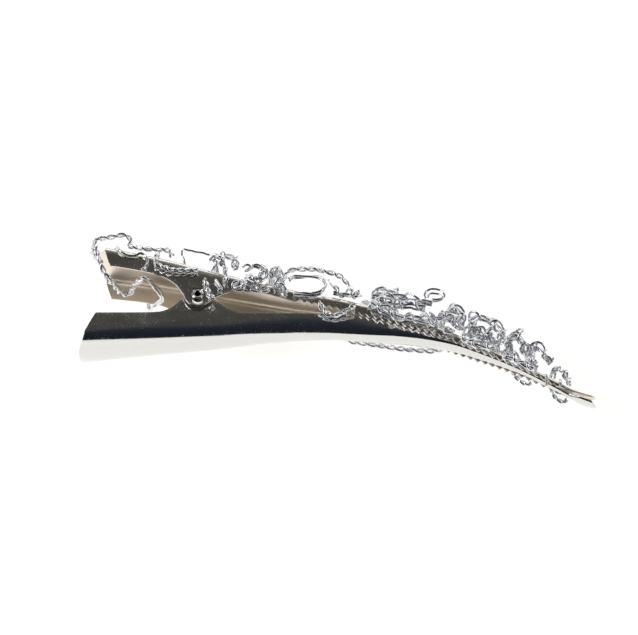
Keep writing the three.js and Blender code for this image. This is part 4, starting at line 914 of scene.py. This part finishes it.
# %% Routes of the wires
WIRES = {
    "wire_thumb_loop": (OPEN, [over(-78, -0.8, 1.1), over(-95, -0.5, 1.1), over(-106, 0.1, 1.2),
        over(-104, 0.8, 1.6), over(-96, 0.8, 2.9), over(-86, 0.75, 4.1), over(-73, 0.7, 5.5),
        over(-67, 0.68, 4.2), over(-69, 0.7, 2.5), over(-60, 0.72, 2.3), over(-48, 0.75, 2.6),
        over(-38, 0.76, 2.9), over(-30, 0.78, 3.1), over(-25.6, 0.85, 1.5)]),
    "wire_end_festoon": (OPEN, [over(-103, 0.98, -0.9), over(-101, 1.0, -2.6),
        over(-99, 1.0, -4.2), over(-97, 0.95, -5.9), over(-95, 0.8, -7.3), over(-88, 0.4, -7.6),
        over(-77, -0.4, -6.7), over(-71, -0.55, -6.0), over(-64, 0, -5.7), over(-56, 0.6, -6.0)]),
    "wire_thumb_line": (LONE, [over(-86, 0.3, 0.8), over(-83, 0.8, 0.8), corner(-81),
        beside(-78, 1.3), beside(-71, 2.4), beside(-63, 1.9), beside(-57, 0.9), beside(-51.5, 1.8),
        beside(-50.5, 3.4), beside(-53, 5.0), beside(-57, 6.0)]),
    "wire_under_tie": (LAID, [over(-56, 1.0, -7.7), over(-50, 0.9, -7.6), over(-44, 0.55, -7.5),
        over(-38, 0.12, -7.4), over(-37, -0.26, -7.4), over(-42, -0.6, -7.4),
        over(-48, -0.95, -7.4), over(-50, -1.15, -6.6), beside(-51, 4.4, -1),
        beside(-50, 2.0, -1), corner(-50, -1), over(-50, -0.75, 1.05), over(-52, -0.25, 1.05)]),
    "wire_shoulder_twist": (TIGHT, [over(-42, -0.3, 1.05), over(-41, 0.4, 1.05), corner(-41),
        beside(-42, 1.8), beside(-41, 3.4), beside(-35, 4.0), beside(-26, 4.3), beside(-14, 3.4),
        beside(0, 2.3)]),
    "wire_square_loop": (LONE, [over(-12, 0.1, 0.75), over(-13.5, 0.7, 0.9), over(-17, 0.8, 3.2),
        over(-15, 0.78, 4.7), over(-9, 0.76, 4.95), over(0.5, 0.75, 5.0), over(3, 0.78, 5.0)]),
    "wire_knot_arch": (DOUBLE, [over(4.2, 0.2, 1.2), over(4.6, 0.4, 4.0), over(6.3, 0.5, 6.6),
        over(8.2, 0.6, 6.6), over(9.3, 0.75, 4.6), over(9.4, 0.95, 2.0)]),
    "wire_knot_fall": (DOUBLE, [over(3.4, 1.0, 1.9), over(4.2, 1.12, 3.4), over(5.8, 1.2, 2.4),
        beside(6.7, -0.2), beside(7.1, 2.0), beside(7.2, 3.8)]),
    "wire_knot_coil": (LAID, ring(10.6, -3.8, 1.25, 1.35, 1.0, 130, 310)),
    "wire_ear_drop": (TIGHT, [beside(1.6, 4.6), beside(2.5, 6.5), beside(3.1, 8.6),
        beside(4.3, 9.9)]),
    "wire_ear_curl": (LONE, [beside(4.4, 3.4), beside(5.4, 4.8), beside(5.9, 6.2),
        beside(5.0, 7.0)]),
    "wire_low_arc": (DOUBLE, [beside(13.3, 4.2), beside(14.4, 4.5), beside(16.6, 3.8),
        beside(18.2, 2.8)]),
    "wire_side_ring": (DOUBLE, ring(14.4, 0.7, 2.3, 2.3, 1.05, 200, 320)),
    "wire_cross_knot": (LAID, [over(18.2, 0.1, 1.1), over(18.6, 0.7, 2.8), over(19.6, 1.0, 3.9),
        over(20.8, 1.15, 2.6), beside(20.6, 0.0), beside(20.9, 1.7), beside(21.3, 3.3),
        beside(22.3, 4.2)]),
    "wire_crest_twist": (OPEN, [over(21.4, 0.3, 1.2), over(21.8, 0.5, 4.2), over(23.4, 0.55, 6.4),
        over(26, 0.55, 7.7), over(30, 0.5, 8.3), over(34.2, 0.5, 8.2), over(37, 0.5, 7.0),
        over(38.6, 0.5, 5.0), over(39.4, 0.45, 3.0)]),
    "wire_long_oval": (LAID, [beside(24.1, 2.7), beside(27, 2.1), beside(30, 1.3),
        over(31.8, 1.22, 0.4), over(32.3, 1.15, 3.0), over(30.8, 1.0, 4.5), over(27, 0.98, 4.0),
        over(24, 1.0, 3.1), over(23, 1.15, 1.4)]),
    "wire_brace": (LONE, [over(32.9, 0.55, 5.7), over(33.8, 0.7, 4.0), over(34.6, 0.8, 2.7)]),
    "wire_spine_line": (LAID, [over(34.2, 0.85, 1.1), over(37.2, 0.88, 1.1), over(40, 0.88, 1.5),
        over(41.4, 0.85, 2.5)]),
    "wire_low_festoon": (OPEN, [beside(30.8, 3.6), beside(31.4, 5.2), beside(33, 6.8),
        beside(35, 6.9), beside(37, 5.3), beside(38.6, 3.6), beside(40, 2.2)]),
    "wire_scroll": (TIGHT, [over(45, 0.2, 1.2), over(45.7, 0.4, 4.0), over(47.2, 0.45, 6.3),
        over(49.4, 0.45, 6.6), over(51.6, 0.45, 5.4), over(52.6, 0.3, 3.4)]),
    "wire_long_line": (LAID, [over(43.8, 1.0, 2.1), over(47.5, 1.0, 2.9), over(51.5, 1.0, 3.7),
        over(56, 1.0, 4.7), over(59.4, 1.0, 5.2)]),
    "wire_long_arc": (DOUBLE, [beside(43.4, 0.9), beside(46, 2.0), beside(49.5, 2.8),
        beside(53, 2.6), beside(57, 1.8), beside(60.5, 0.8)]),
    "wire_crest_ring": (DOUBLE, ring(60, 7 + 2 * STRAND, 2.2, 1.45, -0.4, 250, 320)),
    "wire_crest_rise": (LAID, [over(58.6, 0.5, 1.6), over(61.4, 0.6, 2.8), over(64, 0.75, 3.2),
        over(66.2, 0.85, 2.6), over(67.4, 0.95, 1.4)]),
    "wire_tall_arch": (DOUBLE, [over(61.8, -0.3, 1.3), over(62.4, 0.0, 5.0), over(63.8, 0.2, 7.4),
        over(65.8, 0.3, 7.6), over(66.9, 0.35, 5.6), over(66.4, 0.1, 3.6)]),
    "wire_straight_end": (LONE, [over(63.2, 0.95, 5.2), over(65, 1.0, 5.5), over(67.3, 0.95, 6.5)]),
    "wire_dome": (DOUBLE, [over(69.2, 0.3, 1.3), over(69.2, 0.65, 5.0), over(71, 0.8, 7.6),
        over(74, 0.85, 7.8), over(76.7, 0.9, 5.6), over(77.2, 1.0, 3.4), over(76.0, 1.15, 1.8)]),
    "wire_fan": (LONE, [over(70.6, 0.1, 0.9), over(71.5, 0.2, 4.8), over(72.6, 0.15, 1.6),
        over(73.7, 0.2, 5.4), over(74.7, 0.1, 1.8), over(75.6, 0.2, 4.4)]),
    "wire_dome_skirt": (LAID, [beside(66.6, 2.0), beside(69.2, 2.5), beside(72, 1.9),
        beside(75, 1.2)]),
    "wire_jaw_skirt": (LAID, [beside(77.3, 1.9), beside(79.8, 1.5), beside(82.6, 1.7),
        beside(85.3, 1.3)]),
    "wire_gap_loop": (LAID, [beside(61.9, 2.5), beside(63.4, 2.0), beside(64.4, 1.0)]),
    "wire_mid_loop": (DOUBLE, [over(45.8, 1.3, 0.9), over(48.5, 1.32, 0.4), over(51.5, 1.32, 0.7),
        over(54.5, 1.3, 1.9), over(57.5, 1.25, 2.6)]),
    "wire_crest_knot": (DOUBLE, [over(61.8, 1.5, 1.3), over(63.2, 1.55, 2.0),
        over(64.6, 1.55, 1.2), over(65.6, 1.5, 0.3)]),
    "wire_tip_scroll": (LAID, [over(78.6, 0.0, 1.3), over(78.9, 0.5, 5.0), over(80.4, 0.7, 7.3),
        over(82.2, 0.75, 6.2), over(82.2, 0.8, 4.2), over(83.2, 0.9, 2.2), over(85.4, 1.0, 1.3)]),
    "wire_tip_line": (LAID, [over(84.2, -0.3, 2.0), over(84.2, 0.2, 5.6), over(85.6, 0.6, 6.9),
        over(87.6, 0.8, 5.4), over(88.9, 0.9, 3.5)]),
    "wire_tip_wrap": (DOUBLE, [over(89.4, -0.4, 1.2), over(90.2, 0.3, 3.6), over(91.6, 0.9, 3.7),
        over(92.9, 1.3, 1.6), beside(93.4, 0.6)]),
    "wire_neck_band": (LONE, [beside(91.3, 1.9), beside(91.3, 1.0), corner(91.2),
        over(91.2, 0.5, 0.8), over(91.2, -0.5, 0.8), corner(91.2, -1), beside(91.3, 1.2, -1)]),
    "wire_neck_hook": (LONE, [beside(87.5, 0.8), beside(87.8, 2.4), beside(87.6, 4.2)]),
    "wire_far_twist": (OPEN, [beside(33, 1.5, -1), beside(35.2, 4.3, -1), beside(38.5, 6.2, -1),
        beside(44, 6.3, -1), beside(50, 6.0, -1), beside(56, 4.9, -1), beside(60.5, 3.2, -1),
        beside(63, 1.2, -1), corner(64, -1), over(65, -0.6, 1.1)]),
    "wire_far_knot": (TIGHT, [beside(79.5, 0.8, -1), beside(81, 2.6, -1), beside(83, 2.9, -1),
        beside(84.3, 1.6, -1)]),
    "wire_far_clump": (TIGHT, [beside(89.2, 0.9, -1), beside(90.2, 2.6, -1), beside(92.2, 2.8, -1),
        beside(93.2, 1.4, -1)]),
    "wire_back_handle": (OPEN, [over(-68, -0.7, 1.1), over(-62, -0.65, 2.6), over(-46, -0.6, 3.4),
        over(-30, -0.6, 3.0), over(-22, -0.5, 1.4), over(-12, -0.6, 2.6), over(0, -0.65, 4.2),
        over(5, -0.7, 3.0), over(7, -0.65, 1.2)]),
    "wire_back_throat": (OPEN, [over(9.5, -0.5, 1.1), over(11.5, -0.75, 3.0),
        over(15.5, -0.8, 4.2), over(20, -0.75, 3.2), over(23, -0.7, 1.4), over(26.5, -0.75, 3.0),
        over(30.5, -0.75, 3.8), over(34.5, -0.7, 2.8), over(37, -0.65, 1.2)]),
    "wire_back_jaw": (OPEN, [over(40.5, -0.5, 1.1), over(42.5, -0.7, 3.0), over(46, -0.75, 4.0),
        over(50, -0.7, 3.0), over(53, -0.65, 1.4), over(56, -0.7, 3.0), over(58.6, -0.75, 3.8),
        over(60.4, -0.8, 2.4)]),
    "wire_back_tip": (OPEN, [over(66.8, -0.8, 2.8), over(70, -0.85, 4.6), over(73.6, -0.85, 4.4),
        over(76.4, -0.9, 2.4), over(79.0, -1.0, 2.6), over(81.2, -1.0, 1.3)]),
}
print("wires", len(WIRES), "of which lone", sum(lay is LONE for lay, _ in WIRES.values()))

# %% [markdown]
# Hand-bent wire is never quite even. Each route gets a slow wobble, a sum of two sine waves of
# its own phase, a tenth of a millimetre high.

# %% Bend the wires
STRAND_RADIUS = 0.345
WIRE_STEP = 0.2
WIRE_SIDES = 12
WOBBLE = 0.07
UNEVEN = 0.12  # how far a pair's spacing swells and shrinks, as a share of it
SECOND_REACH = 0.8  # the second loose strand's reach, as a share of the first's
SECOND_TURN = -1.6  # and its turn length; it coils the other way


def wobble(along, seed):
    """Slow unevenness of a hand-bent wire: two sine waves in each direction."""
    phase = seed * np.array([1.7, 2.9, 4.3])
    slow = np.sin(along[:, None] * 0.9 + phase)
    quick = np.sin(along[:, None] * 2.3 + 1.9 * phase)
    return WOBBLE * (slow + 0.5 * quick)


# Wires with two loose strands round them: how far the first reaches and its turn length.
CURLED = {
    "wire_scroll": (1.3, 5.2), "wire_long_line": (1.0, 6.5), "wire_long_arc": (1.25, 4.6),
    "wire_crest_rise": (1.3, 3.7), "wire_tall_arch": (1.2, 4.3), "wire_dome": (1.25, 4.9),
    "wire_dome_skirt": (1.0, 3.3), "wire_tip_scroll": (1.25, 3.9), "wire_tip_line": (1.1, 3.5),
    "wire_cross_knot": (1.1, 4.3), "wire_side_ring": (0.9, 5.1), "wire_knot_fall": (0.6, 3.9),
    "wire_knot_arch": (1.0, 4.7), "wire_spine_line": (1.1, 3.6), "wire_fan": (1.2, 3.1),
    "wire_back_jaw": (1.3, 4.1), "wire_back_tip": (1.2, 3.9), "wire_low_arc": (1.0, 3.4),
    "wire_jaw_skirt": (1.0, 3.4), "wire_gap_loop": (0.9, 3.1), "wire_mid_loop": (1.0, 3.8),
    "wire_crest_knot": (1.0, 3.0), "wire_knot_coil": (0.7, 4.4),
    "wire_straight_end": (0.9, 3.2), "wire_tip_wrap": (0.7, 3.0),
}

wires = []
for number, (name, (lay, places)) in enumerate(WIRES.items()):
    points = [place(lay["stand"]) for place in places]
    route, along = route_through(points, WIRE_STEP)
    route = route + wobble(along, number)
    if lay is LONE:
        strands = [(route, STRAND_RADIUS)]
    else:
        apart = lay["apart"] * (1 + UNEVEN * np.sin(along * 0.7 + number))
        strands = twisted_pair(route, along, STRAND_RADIUS, apart, lay["turn"], number * 0.8)
    if name in CURLED:
        reach, turn_length = CURLED[name]
        strands.append(curl(route, along, STRAND_RADIUS, reach, turn_length, number * 1.3))
        strands.append(curl(route, along, STRAND_RADIUS, SECOND_REACH * reach,
                            SECOND_TURN * turn_length, number))
    wire = wire_piece(f"{name}_strands", strands, CRAFT_WIRE, WIRE_SIDES)
    wires.append((wire, name))
print("wires bent:", len(wires), "faces:", sum(len(w.data.polygons) for w, _ in wires))

# %% [markdown]
# ## What each piece stands for
#
# Every piece but the spring rides on a body and replaces its solid. The spring replaces its
# solid too, but stays where it was built, on neither body.

# %% Bodies and replaced solids
for piece, node, body in ((upper_sheet, "upper_lever", UPPER_BODY),
                          (lower_sheet, "lower_lever", LOWER_BODY),
                          (rivet, "hinge_rivet", LOWER_BODY)):
    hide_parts(node)
    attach(piece, body)
for wire, node in wires:
    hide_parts(node)
    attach(wire, UPPER_BODY)
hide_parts("torsion_spring")
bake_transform(spring)

# %% [markdown]
# ## Studio
#
# Polished steel shows only what surrounds it. A white table that runs far to the front lights
# the belly and the wires; a dark room above makes the flat walls read dark. Lights stand to the
# sides and low behind, away from where the flat walls look, and a narrow strip above is there
# for the crease, along which it shows only faintly.

# %% Table
TABLE_SIZE = 3.0
TABLE_GLOW = 0.68


def white_table():
    """Matt white table top with a faint grain, bright enough to read as a plain background."""
    finish, nodes, links, shader = new_material("white_table")
    place = nodes.new("ShaderNodeTexCoord").outputs["Object"]
    grain = noise(nodes, links, place, 40)
    links.new(colours_between(nodes, links, grain, (0.86, 0.86, 0.86), (0.9, 0.9, 0.9)),
              shader.inputs["Base Color"])
    shader.inputs["Roughness"].default_value = 0.8
    shader.inputs["Emission Color"].default_value = (1, 0.985, 0.96, 1)
    shader.inputs["Emission Strength"].default_value = TABLE_GLOW
    return finish


table_points = np.array([[-1, -1, 0], [1, -1, 0], [1, 1, 0], [-1, 1, 0]]) * TABLE_SIZE / 2
table_mesh = bpy.data.meshes.new("table")
table_mesh.from_pydata(table_points.tolist(), [], [[0, 1, 2, 3]])
table_mesh.materials.append(white_table())
table = bpy.data.objects.new("table", table_mesh)
bpy.context.scene.collection.objects.link(table)
table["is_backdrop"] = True
print("table", TABLE_SIZE, "m")


# %% Lights and room
def area_light(name, place, aim, size, power, colour=(1, 1, 1)):
    """A soft rectangular light at a place, turned so that it looks at the aim."""
    data = bpy.data.lights.new(name, "AREA")
    data.shape = "RECTANGLE"
    data.size, data.size_y = size
    data.energy = power
    data.color = colour
    lamp = bpy.data.objects.new(name, data)
    lamp.location = place
    away = np.array(place) - np.array(aim)
    lamp.rotation_euler = facing(away)
    bpy.context.scene.collection.objects.link(lamp)
    return lamp


def facing(away):
    """Angles that turn a lamp's or camera's -Z axis against the given direction, with X level:
    the tilt from straight down, and the turn about the vertical."""
    flat = math.hypot(away[0], away[1])
    return (math.atan2(flat, away[2]), 0, math.atan2(away[0], -away[1]))


middle = PIVOT + MM * np.array([30, -3, 0])
area_light("left_soft", (-0.55, -0.05, 0.35), middle, (0.35, 0.5), 1.4)
area_light("right_soft", (0.65, -0.1, 0.4), middle, (0.35, 0.5), 1.2)
area_light("back_low", (0.05, 0.7, 0.28), middle, (0.9, 0.25), 0.75)
area_light("overhead", (-0.28, 0.13, 0.62), middle, (0.62, 0.045), 0.3)

ROOM = [(0.0, (0.6, 0.59, 0.57)), (0.24, (0.5, 0.49, 0.47)), (0.275, (0.1, 0.097, 0.09)),
        (0.31, (0.06, 0.058, 0.054)), (0.42, (0.04, 0.042, 0.05)), (0.6, (0.02, 0.023, 0.032)),
        (1.0, (0.012, 0.014, 0.02))]
world = bpy.data.worlds.new("dark_room")
bpy.context.scene.world = world
world.use_nodes = True
sky, sky_links = world.node_tree.nodes, world.node_tree.links
direction = sky.new("ShaderNodeTexCoord").outputs["Generated"]
split = sky.new("ShaderNodeSeparateXYZ")
sky_links.new(direction, split.inputs["Vector"])
height = arithmetic(sky, sky_links, "ARCTAN2", split.outputs["Z"], split.outputs["Y"])
room = sky.new("ShaderNodeValToRGB")
sky_links.new(arithmetic(sky, sky_links, "DIVIDE", height, math.pi), room.inputs["Fac"])
ramp = room.color_ramp
while len(ramp.elements) < len(ROOM):
    ramp.elements.new(0.5)
for element, (place, colour) in zip(ramp.elements, ROOM):
    element.position = place
    element.color = (*colour, 1)
sky_links.new(room.outputs["Color"], sky["Background"].inputs["Color"])

# %% [markdown]
# ## Camera
#
# The clip is seen from its lower lever's side, from 55 degrees above the table. The camera aims
# near the middle of the jaw. Its lens is long, so the view is nearly parallel, and takes in
# 159.5 millimetres across.

# %% Camera
ELEVATION = math.radians(55)
DISTANCE = 1.5
FRAME_WIDTH = 0.1595
SENSOR_WIDTH = 36
aim = PIVOT + MM * np.array([30.25, -2.6, 0])
away = np.array([0, -math.cos(ELEVATION), math.sin(ELEVATION)])
camera_data = bpy.data.cameras.new("camera")
camera_data.sensor_width = SENSOR_WIDTH
camera_data.lens = SENSOR_WIDTH * DISTANCE / FRAME_WIDTH
camera_data.clip_start = 0.01
camera = bpy.data.objects.new("camera", camera_data)
camera.location = aim + DISTANCE * away
camera.rotation_euler = facing(away)
bpy.context.scene.collection.objects.link(camera)
bpy.context.scene.camera = camera
bpy.context.scene.view_settings.view_transform = "Standard"
print("lens", round(camera_data.lens, 1), "mm")

# %% Sizes and finish
bpy.context.view_layer.update()
seen_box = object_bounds()
sizes = {"cad": [[float(v) for v in corner_point] for corner_point in cad_box],
         "visual": [[float(v) for v in corner_point] for corner_point in seen_box]}
print("solid box", sizes["cad"])
print("visual box", sizes["visual"])
